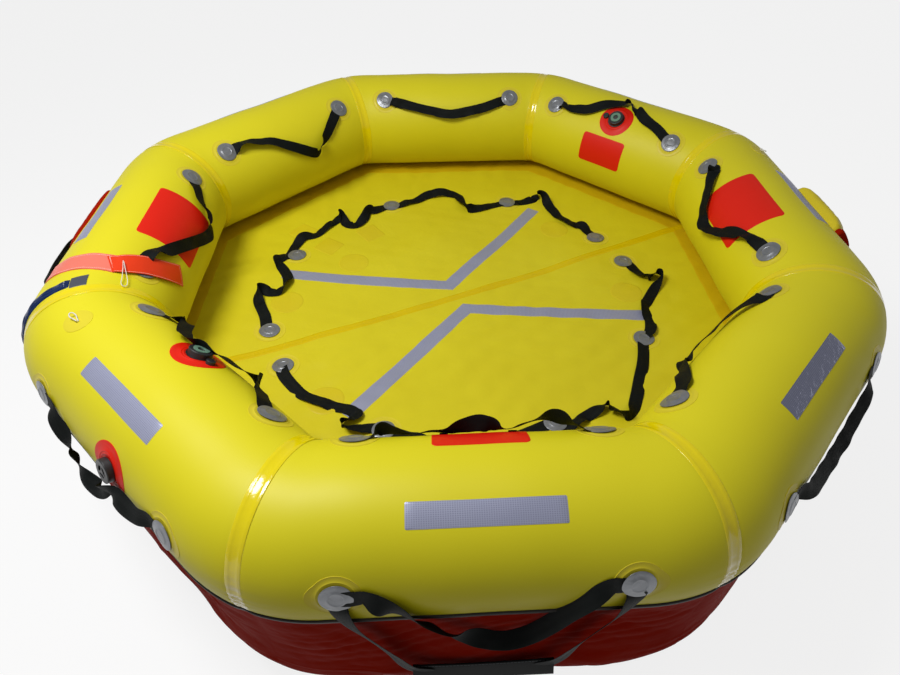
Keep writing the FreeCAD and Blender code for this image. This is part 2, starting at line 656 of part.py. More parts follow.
topping_body = valve_body(VALVE_BODY_HEIGHT)
topping_head_bottom = VALVE_BODY_HEIGHT - SEAT_LIP - STOP_GAP - POPPET_HEAD
topping_poppet = poppet(topping_head_bottom, POPPET_RADIUS, GUIDE_TOP - STEM_LENGTH)
for side, place in TOPPING_PLACES.items():
    save("topping_valve_body_" + side, on_upper_tube(topping_body, side, *place))
    save("topping_valve_poppet_" + side, on_upper_tube(topping_poppet, side, *place))
valve_seats = [on_upper_tube(topping_ring(), side, *place) for side, place in TOPPING_PLACES.items()]
save("topping_valve_seats", Part.makeCompound(valve_seats))
valve_caps = [on_upper_tube(valve_cap(), side, *place) for side, place in TOPPING_PLACES.items()]
save("topping_valve_caps", Part.makeCompound(valve_caps))

relief_body = valve_body(VALVE_BODY_HEIGHT).fuse(relief_guard()).removeSplitter()
relief_poppet = poppet(GUIDE_TOP + STOP_GAP, VALVE_BORE_RADIUS - 2, GUIDE_TOP - STEM_LENGTH - RELIEF_TRAVEL)
for side, place in RELIEF_PLACES.items():
    save("relief_valve_body_" + side, on_upper_tube(relief_body, side, *place))
    save("relief_valve_poppet_" + side, on_upper_tube(relief_poppet, side, *place))

# Labels: bare orange patches on the tube's inner side
# length along the tube, width round it, then its place along and around
LABELS = {
    "left": (251.0, 188.0, -8.0, 141.0),
    "right": (253.0, 192.0, -6.0, 130.5),
    "back_right": (182.0, 110.0, -6.0, 167.5),
    "front": (200.0, 110.0, 2.0, 130.5),
}
labels = []
for side, (length, width, along, around) in LABELS.items():
    label = wrapped_strip(length, width, 0, LABEL_THICKNESS)
    labels.append(on_upper_tube(label, side, along, around))
save("label_patches", Part.makeCompound(labels))

# Two tabs of hook-and-loop webbing hold a coiled line's pocket shut at the front label's upper edge
tab = wrapped_strip(18, 14, LABEL_THICKNESS, 4)
tabs = [on_upper_tube(tab, "front", along, 143) for along in (-72, 76)]
save("front_label_tabs", Part.makeCompound(tabs))

# Knife pocket over the left side's tube, with its pull tag
POCKET_PLACE = 280.0
POCKET_START = 50.0
POCKET_END = 114.0
POCKET_WIDTH = 70.0
POCKET_THICKNESS = 2.5
TAG_WIDTH = 66.0
TAG_THICKNESS = 1.2

pocket_arc = math.radians(POCKET_END - POCKET_START) * UPPER_RADIUS
pocket = wrapped_strip(POCKET_WIDTH, pocket_arc, 0, POCKET_THICKNESS)
save("knife_pocket", on_upper_tube(pocket, "left", POCKET_PLACE, (POCKET_START + POCKET_END) / 2))

disc_top = DISC_BOTTOM + DISC_THICKNESS + DISC_RIM_HEIGHT
tag_rise = disc_top + 1.5
tag_route = ((283, 110, POCKET_THICKNESS + FIT), (276, 117, tag_rise), (254, 129, tag_rise))
tag_route += ((232, 141, tag_rise), (206, 153, tag_rise), (180, 164, tag_rise))
tag = ribbon(
    [(tube_point("left", *place), radial("left", place[1])) for place in tag_route],
    TAG_WIDTH,
    TAG_THICKNESS,
)
save("knife_tag", tag)

# Sleeve of the mooring line, over the tube beside the left corner seam
SLEEVE_WIDTH = 34.0
SLEEVE_THICKNESS = 5.0
SLEEVE_OFFSET = 40.0  # middle of the seam tape to the sleeve's middle


def beside_seam(width, thickness, start, end):
    """Band round the tube beside a corner seam, between two angles round the tube."""
    face = sector(UPPER_RADIUS, UPPER_RADIUS + thickness, start, end)
    face.translate(Vector(RING_APOTHEM, STRAIGHT_HALF, UPPER_Z))
    band = face.revolve(bend_centre, Vector(0, 0, 1), TURN)
    run = sector(UPPER_RADIUS, UPPER_RADIUS + thickness, start, end)
    run.translate(Vector(RING_APOTHEM, STRAIGHT_HALF - SLEEVE_OFFSET, UPPER_Z))
    band = band.fuse(run.extrude(Vector(0, SLEEVE_OFFSET, 0)))
    cutter = Part.makeBox(slab_size, width, slab_size)
    cutter_y = STRAIGHT_HALF - SLEEVE_OFFSET - width / 2
    cutter.translate(Vector(bend_centre.x, cutter_y, UPPER_Z - slab_size / 2))
    return band.common(turned(cutter, TURN / 2, centre=bend_centre)).removeSplitter()


sleeve = beside_seam(SLEEVE_WIDTH, SLEEVE_THICKNESS, -12, 84)
save("mooring_line_sleeve", turned(sleeve, SIDE_ANGLE["left"]))
sleeve_patch = beside_seam(SLEEVE_WIDTH + 10, PATCH_THICKNESS, 84.3, 97)
save("mooring_line_patch", turned(sleeve_patch, SIDE_ANGLE["left"]))

# Stowage pouch on the right side's outside
POUCH_LENGTH = 250.0
POUCH_WIDTH = 100.0
POUCH_THICKNESS = 34.0
POUCH_ALONG = -38.0
POUCH_AROUND = 35.0
POUCH_FLAP = 12.0

pouch = wrapped_strip(POUCH_LENGTH, POUCH_WIDTH, 0, POUCH_THICKNESS)
pouch_top = UPPER_RADIUS + POUCH_THICKNESS
outer_edges = []
for edge in pouch.Edges:
    middle = edge.CenterOfMass
    if math.hypot(middle.x, middle.z) > pouch_top - 8:
        outer_edges.append(edge)
pouch = pouch.makeFillet(12, outer_edges)
save("stowage_pouch", on_upper_tube(pouch, "right", POUCH_ALONG, POUCH_AROUND))
flap = wrapped_strip(POUCH_FLAP, POUCH_WIDTH - 16, 0, POUCH_THICKNESS - 12)
flap_along = POUCH_ALONG - (POUCH_LENGTH + POUCH_FLAP) / 2
save("stowage_pouch_flap", on_upper_tube(flap, "right", flap_along, POUCH_AROUND))

# Small white cords
# A tie loop on a patch at two places on the upper tube, and the loop that ties the knife's tag.
LOOP_CORD_RADIUS = 1.5
TIE_CORD_RADIUS = 1.0
LOOP_PATCH_RADIUS = 36.0
LOOP_PLACES = {"front_left": (-294.0, 80.0), "right": (300.0, 67.0)}


def cord(points, radius):
    """Round cord along a smooth line that the points steer."""
    line = Part.BSplineCurve()
    line.buildFromPoles(points, False, 2)
    section = Part.Wire(Part.Circle(points[0], points[1] - points[0], radius).toShape())
    return Part.Wire(line.toShape()).makePipeShell([section], True, False)


loop_patches = []
for side, (along, around) in LOOP_PLACES.items():
    loop_patches.append(on_upper_tube(wrapped_round(LOOP_PATCH_RADIUS, 0, PATCH_THICKNESS), side, along, around))
    height = PATCH_THICKNESS + LOOP_CORD_RADIUS + 3 * FIT
    route = ((8, 0, height), (-2, 2, height), (-13, 6, height + 3), (-22, 4, height + 8))
    route += ((-24, -3, height + 9), (-16, -8, height + 6), (-4, -4, height + 3.5), (8, -3, height + 3))
    points = [tube_point(side, along + x, around + math.degrees(y / UPPER_RADIUS), h) for x, y, h in route]
    save("tie_loop_" + side, cord(points, LOOP_CORD_RADIUS))
save("tie_loop_patches", Part.makeCompound(loop_patches))

eyelet = (270.0, 116.0, tag_rise + TAG_THICKNESS + TIE_CORD_RADIUS + 3 * FIT)
tie_route = (eyelet, (282, 117, eyelet[2]), (300, 118.5, eyelet[2] + 2), (318, 120, 9), (336, 121.5, 7.5))
tie_route += ((352, 122, 7), (362, 124.5, 7.5), (354, 127, 7), (338, 126, 7.5), (320, 123.5, 9))
tie_route += ((304, 120.5, eyelet[2] + 4), (288, 118.5, eyelet[2] + 3), (276, 117, eyelet[2] + 2.4))
save("knife_tie_cord", cord([tube_point("left", *place) for place in tie_route], TIE_CORD_RADIUS))

print("cord radii:", LOOP_CORD_RADIUS, TIE_CORD_RADIUS)
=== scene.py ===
"""Looks of an open octagonal inflatable liferaft: two fabric tubes, a floor between them and fittings."""

import math

import bmesh
import bpy
import numpy as np
from mathutils import Matrix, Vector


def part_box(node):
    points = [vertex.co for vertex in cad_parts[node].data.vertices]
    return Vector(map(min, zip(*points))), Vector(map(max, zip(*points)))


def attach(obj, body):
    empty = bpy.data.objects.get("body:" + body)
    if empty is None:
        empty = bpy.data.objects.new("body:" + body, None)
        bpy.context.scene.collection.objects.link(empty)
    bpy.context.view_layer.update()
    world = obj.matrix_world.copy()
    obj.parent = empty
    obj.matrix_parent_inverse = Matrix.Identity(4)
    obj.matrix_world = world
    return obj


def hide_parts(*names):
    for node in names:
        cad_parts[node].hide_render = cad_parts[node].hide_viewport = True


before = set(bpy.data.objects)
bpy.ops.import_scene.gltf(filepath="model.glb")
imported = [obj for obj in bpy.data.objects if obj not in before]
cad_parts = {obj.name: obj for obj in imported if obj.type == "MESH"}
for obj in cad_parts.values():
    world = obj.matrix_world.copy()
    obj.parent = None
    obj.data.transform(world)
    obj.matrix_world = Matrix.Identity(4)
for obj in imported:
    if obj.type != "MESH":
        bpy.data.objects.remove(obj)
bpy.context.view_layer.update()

scene = bpy.context.scene
scene.view_settings.view_transform = "Standard"


# Camera ------------------------------------------------------------------------------------------------
# It looks down over the front tube into the raft, a little to the left of the middle.

camera_data = bpy.data.cameras.new("camera")
camera_data.sensor_width = 36
camera_data.lens = 24.73
camera_data.shift_x = -0.011
camera_data.shift_y = 0.020
camera = bpy.data.objects.new("camera", camera_data)
scene.collection.objects.link(camera)
camera_place = Matrix.Translation((-0.0841, -1.687, 1.6735))
camera_heading = Matrix.Rotation(math.radians(-3.15), 4, "Z")
camera_tilt = Matrix.Rotation(math.radians(90 - 44.18), 4, "X")
camera_roll = Matrix.Rotation(math.radians(0.29), 4, "Z")
camera.matrix_world = camera_place @ camera_heading @ camera_tilt @ camera_roll
scene.camera = camera


# Ground, daylight and sky --------------------------------------------------------------------------------
# A pale matt floor under the raft. It looks white where it is lit, and it keeps the raft's shadow.


def new_material(name):
    """An empty material with a Principled shader, and the tools to add nodes to it."""
    material = bpy.data.materials.new(name)
    material.use_nodes = True
    return material, material.node_tree, material.node_tree.nodes["Principled BSDF"]


def join(tree, node, inputs):
    """Give a node's inputs plain values, sockets, or other nodes, which stand for their first output."""
    for name, value in inputs.items():
        if isinstance(value, bpy.types.Node):
            value = value.outputs[0]
        if isinstance(value, bpy.types.NodeSocket):
            tree.links.new(value, node.inputs[name])
        else:
            node.inputs[name].default_value = value


def add(tree, kind, inputs=None, **settings):
    """Add a node of a kind, with its settings and its inputs."""
    node = tree.nodes.new("ShaderNode" + kind)
    for name, value in settings.items():
        setattr(node, name, value)
    join(tree, node, inputs or {})
    return node


def reckon(tree, operation, *values):
    """A sum of one kind on plain values, sockets and nodes."""
    return add(tree, "Math", dict(enumerate(values)), operation=operation)


def mixed(tree, share, first, second):
    """A tone that goes from the first to the second as the share rises; each is a colour or a node."""
    tones = [tone if isinstance(tone, bpy.types.Node) else (*tone, 1) for tone in (first, second)]
    return add(tree, "MixRGB", {"Fac": share, "Color1": tones[0], "Color2": tones[1]})


ground_half = 20.0
ground_mesh = bpy.data.meshes.new("ground")
ground_corners = [(x * ground_half, y * ground_half, 0) for x, y in ((-1, -1), (1, -1), (1, 1), (-1, 1))]
ground_mesh.from_pydata(ground_corners, [], [(0, 1, 2, 3)])
ground = bpy.data.objects.new("ground", ground_mesh)
scene.collection.objects.link(ground)
ground_material, tree, shader = new_material("pale_ground")
rays = add(tree, "LightPath").outputs
seen = reckon(tree, "MAXIMUM", rays["Is Camera Ray"], rays["Is Glossy Ray"])
ground_tone = mixed(tree, seen, (0.2, 0.17, 0.13), (0.9, 0.9, 0.9))
join(tree, shader, {"Base Color": ground_tone, "Roughness": 0.9, "Specular IOR Level": 0.1})
glow = add(tree, "Emission", {"Color": (1, 1, 1, 1), "Strength": 1.03})
glow_share = reckon(tree, "MULTIPLY", seen, 0.8)
ground_mix = add(tree, "MixShader", {0: glow_share, 1: shader, 2: glow})
join(tree, tree.nodes["Material Output"], {"Surface": ground_mix})
ground_mesh.materials.append(ground_material)

key_data = bpy.data.lights.new("key_light", "AREA")
key_data.shape = "DISK"
key_data.size = 0.9
key_data.energy = 46
key = bpy.data.objects.new("key_light", key_data)
key_distance, key_rise = 2.5, math.radians(60)
key_heading = Matrix.Rotation(math.radians(205), 4, "Z") @ Matrix.Rotation(math.pi / 2 - key_rise, 4, "Y")
key.matrix_world = Matrix.Translation((0, 0, 0.5)) @ key_heading @ Matrix.Translation((0, 0, key_distance))
scene.collection.objects.link(key)

world = bpy.data.worlds.new("sky")
world.use_nodes = True
scene.world = world
tree = world.node_tree
rays = add(tree, "LightPath").outputs
sky_strength = add(tree, "MapRange", {"Value": rays["Is Camera Ray"], "To Min": 0.26, "To Max": 1.0})
join(tree, tree.nodes["Background"], {"Color": (1, 1, 1, 1), "Strength": sky_strength})


# Upper buoyancy tube ---------------------------------------------------------------------------------------
# Yellow coated fabric, welded from eight panels that are mitred at the ring's corners. It is blown tight, so
# that it is smooth but for the pull of the corner seams, and flat where it is welded to the floor's edge.

SIDES = ("front", "front_right", "right", "back_right", "back", "back_left", "left", "front_left")
side_turn = {name: math.radians(-90 + 45 * index) for index, name in enumerate(SIDES)}
apothem = 1.0
bend_radius = 0.230
front_low, front_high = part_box("upper_tube_front")
upper_radius = -front_low.y - apothem
upper_height = front_high.z - upper_radius
floor_low, floor_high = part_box("floor_panel_back")
floor_top = floor_high.z
floor_bottom = floor_low.z
half_turn = math.radians(22.5)
straight_half = (apothem - bend_radius) * math.tan(half_turn)
side_half = straight_half + bend_radius * half_turn


def turned(x, y, turn):
    """Places turned about the raft's middle, anticlockwise from above."""
    return x * math.cos(turn) - y * math.sin(turn), x * math.sin(turn) + y * math.cos(turn)


def on_ring(side, along, around, out, height):
    """Points round a ring's tube on one side of the raft.

    The centreline runs straight from the side's middle, then bends through half a corner. A point lies out
    from it in the direction that starts at the raft's outside and turns up over the top by around degrees.
    """
    along, around, out = np.broadcast_arrays(along, np.radians(around), out)
    bend = np.clip(np.abs(along) - straight_half, 0, None) / bend_radius
    run = np.clip(np.abs(along), None, straight_half)
    reach = bend_radius + out * np.cos(around)
    x = apothem - bend_radius + reach * np.cos(bend)
    y = np.sign(along) * (run + reach * np.sin(bend))
    return np.stack([*turned(x, y, side_turn[side]), height + out * np.sin(around)], axis=-1)


def waves(u, v, seed, count, shortest, longest):
    """Soft uneven ground, about -1 to 1: a sum of sine waves with seeded directions, lengths and phases."""
    dice = np.random.default_rng(seed)
    total = np.zeros(np.broadcast(u, v).shape)
    for direction, length, phase in zip(
        dice.uniform(0, math.tau, count), dice.uniform(shortest, longest, count), dice.uniform(0, math.tau, count)
    ):
        total += np.sin((u * math.cos(direction) + v * math.sin(direction)) * math.tau / length + phase)
    return total / math.sqrt(count)


def upper_skin(along, around):
    """Radius of the upper tube: drawn in under each corner seam, with puckers beside the seam low outside."""
    reach = bend_radius + upper_radius * np.cos(np.radians(around))
    from_seam = reach * np.sin(np.clip((side_half - np.abs(along)) / bend_radius, 0, half_turn))
    arc = np.radians(around) * upper_radius
    drawn = 0.0022 * np.exp(-((from_seam / 0.014) ** 2))
    low_outside = np.exp(-(((around + 2) / 16) ** 2))
    puckers = 0.0013 * np.sin(arc * math.tau / 0.021 + 1.2 * np.sin(arc / 0.013)) * np.exp(-from_seam / 0.028)
    soft = 0.0006 * waves(along, arc, 4, 6, 0.12, 0.35)
    return upper_radius - 0.0008 - drawn + puckers * low_outside + soft


def on_tube(side, along, around, lift=0.0):
    """Points on the upper tube's skin, or lifted off it."""
    return on_ring(side, along, around, upper_skin(along, around) + lift, upper_height)


def crossed(down_rows, across_columns):
    """A grid of each row's value with each column's."""
    return np.meshgrid(down_rows, across_columns, indexing="ij")


def rows_and_columns(edges):
    """Values in runs of even steps: each edge is (start, number of steps), and the last is the end."""
    steps = zip(edges, edges[1:])
    runs = [np.linspace(here, after, count, endpoint=False) for (here, count), (after, _) in steps]
    return np.concatenate(runs + [[edges[-1][0]]])


def make_piece(name, grids, material, replaced=(), body="raft", sharp=50, merge=True):
    """Join grids of points into one mesh piece that rides on a body and takes a finish.

    A grid is (points, flat places for the weave or None, whether its last column meets its first). Its faces
    look along next row x next column.
    """
    points, faces, flats, start = [], [], [], 0
    for grid, flat, round_about in grids:
        rows, columns = grid.shape[:2]
        index = start + np.arange(rows * columns).reshape(rows, columns)
        after = np.roll(index, -1, axis=1) if round_about else index[:, 1:]
        here = index if round_about else index[:, :-1]
        faces.append(np.stack([here[:-1], here[1:], after[1:], after[:-1]], axis=-1).reshape(-1, 4))
        points.append(grid.reshape(-1, 3))
        flats.append(np.zeros((rows * columns, 2)) if flat is None else flat.reshape(-1, 2))
        start += rows * columns
    points, faces, flats = np.concatenate(points), np.concatenate(faces), np.concatenate(flats)
    mesh = bpy.data.meshes.new(name)
    mesh.from_pydata(points.tolist(), [], faces.tolist())
    layer = mesh.uv_layers.new(name="UVMap")
    layer.data.foreach_set("uv", flats[faces.ravel()].astype(np.float32).ravel())
    if merge:
        cleaned = bmesh.new()
        cleaned.from_mesh(mesh)
        bmesh.ops.remove_doubles(cleaned, verts=cleaned.verts, dist=1e-6)
        cleaned.to_mesh(mesh)
        cleaned.free()
    mesh.shade_smooth()
    if sharp:
        mesh.set_sharp_from_angle(angle=math.radians(sharp))
    mesh.materials.append(material)
    piece = bpy.data.objects.new(name, mesh)
    scene.collection.objects.link(piece)
    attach(piece, body)
    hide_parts(*replaced)
    return piece


def noise(tree, scale, detail, roughness=0.5, distortion=0.0, space="Object"):
    """Clouds in the piece's own places, or in its flat places as the space UV."""
    place = add(tree, "TexCoord")
    return add(tree, "TexNoise", {"Vector": place.outputs[space], "Scale": scale, "Detail": detail,
                                  "Roughness": roughness, "Distortion": distortion})


def bumped(tree, height, strength, distance):
    """Small bumps from a node's heights."""
    return add(tree, "Bump", {"Height": height, "Strength": strength, "Distance": distance})


def uneven(tree, clouds, middle, spread):
    """A value that wanders to both sides of its middle with the clouds."""
    return add(tree, "MapRange", {"Value": clouds, "From Min": 0.3, "From Max": 0.7,
                                  "To Min": middle - spread, "To Max": middle + spread})


def coated_fabric(name, colour, deep, roughness, crease=0.0, crease_size=30.0, grain=0.35, spread=0.5, shine=0.3):
    """Coated fabric: a colour that clouds into a deeper one, a fine grain and, where it is slack, creases."""
    material, tree, shader = new_material(name)
    cloud = noise(tree, 3.2, 4.0, roughness=0.55)
    share = add(tree, "MapRange", {"Value": cloud, "From Min": 0.35, "From Max": 0.7, "To Max": spread})
    height = bumped(tree, noise(tree, 420.0, 2.0), grain, 0.0004)
    if crease:
        folds = bumped(tree, noise(tree, crease_size, 3.0, roughness=0.45, distortion=0.6), crease, 0.006)
        join(tree, folds, {"Normal": height})
        height = folds
    join(tree, shader, {"Base Color": mixed(tree, share, colour, deep), "Normal": height,
                        "Roughness": uneven(tree, cloud, roughness, 0.05), "Specular IOR Level": shine})
    return material


yellow_fabric = coated_fabric("yellow_coated_fabric", (0.74, 0.665, 0.010), (0.74, 0.64, 0.006), 0.5, shine=0.36)
panel_along = side_half * np.sin(np.linspace(-math.pi / 2, math.pi / 2, 97))
panel_around = rows_and_columns([(-90, 16), (-40, 44), (24, 66), (180, 40), (269, 0)])
for side in SIDES:
    skin = on_tube(side, *crossed(panel_along, panel_around))
    skin[..., 2] = np.maximum(skin[..., 2], floor_top)
    make_piece("buoyancy_tube_upper_" + side, [(skin, None, True)], yellow_fabric,
               ["upper_tube_" + side], sharp=0, merge=False)


# Lower buoyancy tube ---------------------------------------------------------------------------------------
# Orange-red coated fabric, the same ring, but softer: its panels hang in long folds that run to the corners.
# Its colour is darkened with painted shade.

lower_radius = -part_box("lower_tube_front")[0].y - apothem
foot_half = 0.030
lower_height = math.sqrt(lower_radius**2 - foot_half**2)


def creases(u, v, seed, count, shortest, longest, slant):
    """Sharp folds between soft hollows, 0 to 1: ridges where slanted sine waves, bent by soft ones, cross zero."""
    dice = np.random.default_rng(seed)
    bent = 0.03 * waves(u, v, seed + 1, 4, 0.3, 0.7)
    total = np.zeros(np.broadcast(u, v).shape)
    for _ in range(count):
        direction = math.pi / 2 + dice.uniform(-slant, slant)
        length = dice.uniform(shortest, longest)
        phase = dice.uniform(0, math.tau)
        place = (u * math.cos(direction) + v * math.sin(direction) + bent) * math.tau / length + phase
        total += (1 - np.abs(np.sin(place))) ** 2
    return total / count


def lower_skin(side, along, around):
    """Radius of the lower tube: it narrows towards the corners, and folds and soft dents draw it in."""
    seed = 20 + 3 * SIDES.index(side)
    arc = np.radians(around) * lower_radius
    corner = np.abs(along) / side_half
    inside = np.sin(np.pi * np.clip(corner, 0, 1))
    narrow = 0.009 * corner**4
    folded = 0.007 * creases(along, arc, seed, 5, 0.09, 0.2, 0.5) * (0.35 + 0.65 * inside)
    dents = 0.0028 * (waves(along, arc, seed, 7, 0.08, 0.3) + 1.2) * np.sqrt(inside)
    gathers = 0.0045 * (1 - np.abs(np.sin(arc * 26 + 2 * np.sin(arc * 9)))) ** 2 * corner**10
    return lower_radius - 0.001 - narrow - folded - dents - gathers


# Painted shade: the orange colour is darkened to the shade under the upper tube's overhang, so every piece that
# takes it renders darker than the real orange.
orange_fabric_painted_shade = coated_fabric("orange_coated_fabric_painted_shade", (0.34, 0.010, 0.001), (0.26, 0.007, 0.001), 0.65, shine=0.03,
                              crease=0.35, crease_size=22.0)
lower_around = rows_and_columns([(-90, 120), (100, 40), (269, 0)])
for side in SIDES:
    along, around = crossed(panel_along, lower_around)
    skin = on_ring(side, along, around, lower_skin(side, along, around), lower_height)
    skin[..., 2] = np.clip(skin[..., 2], 0.0, floor_bottom)
    make_piece("buoyancy_tube_lower_" + side, [(skin, None, True)], orange_fabric_painted_shade,
               ["lower_tube_" + side], sharp=0, merge=False)


# Joining strip and skirt -----------------------------------------------------------------------------------
# A black rubber strip round the upper tube covers the welded edge of an orange skirt, which hangs down to the
# lower tube and closes the gap between the two tubes. The skirt takes the orange fabric with its painted shade.

strip_width = 0.019
strip_around = -16.4
skirt_length = 0.22


def mottled(name, scale, detail, dark, light, rise, depth, finish, distortion=0.0):
    """A material whose tone and small bumps follow the same clouds; finish holds its other values."""
    material, tree, shader = new_material(name)
    clouds = noise(tree, scale, detail, distortion=distortion)
    join(tree, shader, {"Base Color": mixed(tree, clouds, dark, light),
                        "Normal": bumped(tree, clouds, rise, depth), **finish})
    return material


rubber = mottled("black_rubber_strip", 14.0, 5.0, (0.012, 0.011, 0.010), (0.045, 0.038, 0.032), 0.3, 0.001,
                 {"Specular IOR Level": 0.15, "Roughness": 0.5})
strip_across = np.sin(np.linspace(-math.pi / 2, math.pi / 2, 13))
strip_grids, skirt_grids = [], []
for index, side in enumerate(SIDES):
    along, across = crossed(panel_along, strip_across)
    around = strip_around + np.degrees(across * strip_width / 2 / upper_radius)
    around += 0.25 * waves(along + index, 0 * along, 7, 4, 0.25, 0.6) * (1 - (along / side_half) ** 4)
    strip = on_tube(side, along, around, 0.0052 * np.sqrt(1 - across**4) - 0.0002)
    strip_grids.append((strip, None, False))
    along, down = crossed(panel_along, np.linspace(0, 1, 49))
    top = on_ring(side, along, strip_around - 2.6, upper_skin(along, strip_around) + 0.0006, upper_height)
    foot_around = 8 + 6 * np.sin(along * 7 + index)
    foot = on_ring(side, along, foot_around, lower_skin(side, along, foot_around) + 0.0012, lower_height)
    outward = on_ring(side, along, 0, 1.0, 0) - on_ring(side, along, 0, 0.0, 0)
    inside = 1 - (along / side_half) ** 8
    slack = 0.010 * creases(along, down * skirt_length, 60 + index, 4, 0.08, 0.17, 0.9)
    slack = slack + 0.004 * waves(along, down * skirt_length, 60 + index, 5, 0.1, 0.3)
    drop = np.sin(math.pi * down) ** 0.7 * (slack * inside + 0.006)
    hung = top * (1 - down)[..., None] + foot * down[..., None] - outward * drop[..., None]
    skirt_grids.append((hung[:, ::-1], None, False))
make_piece("joining_strip", strip_grids, rubber, ["tube_joining_strip"], sharp=0)
make_piece("joining_skirt", skirt_grids, orange_fabric_painted_shade, ["tube_joining_skirt"], sharp=0)


# Corner seam tapes -----------------------------------------------------------------------------------------
# A glossy yellow tape is welded over each mitred corner of the upper tube, from the strip to the floor.

seam_width = 0.034
glossy_tape, tree, shader = new_material("glossy_seam_tape")
tape_tone = mixed(tree, noise(tree, 30.0, 3.0, space="UV"), (0.84, 0.70, 0.0), (0.80, 0.64, 0.0))
tape_bump = bumped(tree, noise(tree, 90.0, 2.0, space="UV"), 0.25, 0.002)
join(tree, shader, {"Base Color": tape_tone, "Normal": tape_bump, "Roughness": 0.16, "Coat Weight": 0.3,
                    "Coat Roughness": 0.08})


def by_seam(distance, around):
    """Place along a side of a point at a distance from the plane of the seam at the side's end."""
    reach = bend_radius + upper_radius * np.cos(np.radians(around))
    return side_half - bend_radius * np.arcsin(np.clip(distance / reach, -1, math.sin(half_turn)))


seam_grids = []
tape_around = np.linspace(strip_around + 3.4, 254, 220)
tape_across = np.array([-1.0, -0.97, -0.9, -0.7, -0.62, -0.5, -0.2, 0, 0.2, 0.5, 0.62, 0.7, 0.9, 0.97, 1.0])
tape_lift = np.array([-0.4, 0.5, 0.8, 0.9, 1.3, 1.0, 1.0, 1.2, 1.0, 1.0, 1.3, 0.9, 0.8, 0.5, -0.4]) * 0.001
for side in SIDES:
    around, across = crossed(tape_around, tape_across)
    from_seam = across * seam_width / 2
    along = by_seam(np.abs(from_seam), around)
    out = upper_skin(along, around) + tape_lift
    following = SIDES[(SIDES.index(side) + 1) % 8]
    before_corner = on_ring(side, along, around, out, upper_height)
    past_corner = on_ring(following, -along, around, out, upper_height)
    points = np.where((from_seam > 0)[..., None], past_corner, before_corner)
    points[..., 2] = np.maximum(points[..., 2], floor_top + 0.0015)
    flat = np.stack([from_seam, np.radians(around) * upper_radius], axis=-1)
    seam_grids.append((points[::-1], flat[::-1], False))
make_piece("corner_seam_tapes", seam_grids, glossy_tape, ["upper_seam_tapes"], sharp=0)


# Floor -----------------------------------------------------------------------------------------------------
# Two half panels of thin yellow coated fabric, clamped between the tubes. The floor dips in the middle, small
# folds fan in from the corners, and soft waves cross the front panel. A band of painted shade lies round its edge.

floor_seam_angle = math.radians(22.5)
floor_edge = apothem + 0.040
floor_dip = 0.025


def from_side_middle(angle):
    """Angle of a direction from the middle of the side that it meets."""
    return np.mod(angle + half_turn, 2 * half_turn) - half_turn


def floor_height(x, y):
    """Height of the slack floor: a shallow dip, slanted soft waves, and folds that fan in from the edge."""
    angle = np.arctan2(y, x)
    reach = np.hypot(x, y) * np.cos(from_side_middle(angle))
    inner = np.clip(1 - (reach / 0.955) ** 2, 0, None)
    middle = np.sqrt(inner)
    beside = x * math.sin(floor_seam_angle) - y * math.cos(floor_seam_angle)
    front = 0.5 + 0.5 * np.tanh(beside / 0.12)
    slanted = x * math.cos(math.radians(-52)) + y * math.sin(math.radians(-52))
    stripes = np.sin(slanted * math.tau / 0.085 + 1.4 * waves(x, y, 31, 4, 0.35, 0.8))
    soft = 0.0014 * front * stripes * middle + 0.0035 * waves(x, y, 33, 6, 0.25, 0.6) * middle
    near_edge = np.exp(-(((0.95 - reach) / 0.16) ** 2)) * middle
    fan = 0.0045 * np.sin(angle * 46 + 3 * waves(x, y, 35, 4, 0.3, 0.7)) * near_edge
    small = 0.0006 * waves(x, y, 37, 9, 0.05, 0.14) * middle
    return floor_top - floor_dip * inner + soft + fan + small


floor_fabric = coated_fabric("yellow_floor_fabric", (0.72, 0.63, 0.014), (0.68, 0.58, 0.010), 0.40,
                             crease=0.22, crease_size=16.0, spread=0.8)
cut_across = 2 * floor_edge / math.cos(half_turn)
for name, start in (("floor_back", floor_seam_angle), ("floor_front", floor_seam_angle + math.pi)):
    angle, share = crossed(np.linspace(start, start + math.pi, 421), np.linspace(0, 1, 191) ** 0.8)
    radius = share * floor_edge / np.cos(from_side_middle(angle))
    radius = np.minimum(radius, cut_across / 2 - 0.025)
    x, y = radius * np.cos(angle), radius * np.sin(angle)
    points = np.stack([x, y, floor_height(x, y)], axis=-1)
    panel = make_piece(name, [(points[::-1], points[::-1, :, :2], False)], floor_fabric,
                       [name.replace("floor_", "floor_panel_")], sharp=0)


# Floor's painted shade band, seam tape and stiffening patches -------------------------------------------------
# A band of deeper, more orange yellow round the floor beside the tubes is painted shade, the shadow under the
# tubes' overhang; a tape covers the seam of the two panels, and thin patches of the floor's own fabric are welded
# on it, barely darker than the rest.


def on_floor(x, y, height):
    """Points over the floor."""
    return np.stack(np.broadcast_arrays(x, y, floor_height(x, y) + height), axis=-1)


# Painted shade: this band's deeper, more orange yellow stands in for the shadow the tubes cast on the floor
# beneath them.
edge_painted_shade = coated_fabric("floor_edge_painted_shade", (0.66, 0.47, 0.006), (0.60, 0.40, 0.004), 0.36, crease=0.3,
                            crease_size=20.0, spread=0.8)
band_inner, band_outer = 0.862, 0.975
angle, reach = crossed(np.linspace(0, math.tau, 961), np.linspace(band_inner, band_outer, 25))
radius = reach / np.cos(from_side_middle(angle))
lift = 0.0008 * np.clip((reach - band_inner) / 0.002, 0, 1)
band = on_floor(radius * np.cos(angle), radius * np.sin(angle), lift)
make_piece("floor_edge_painted_shade_band", [(band[::-1], None, False)], edge_painted_shade, sharp=0)

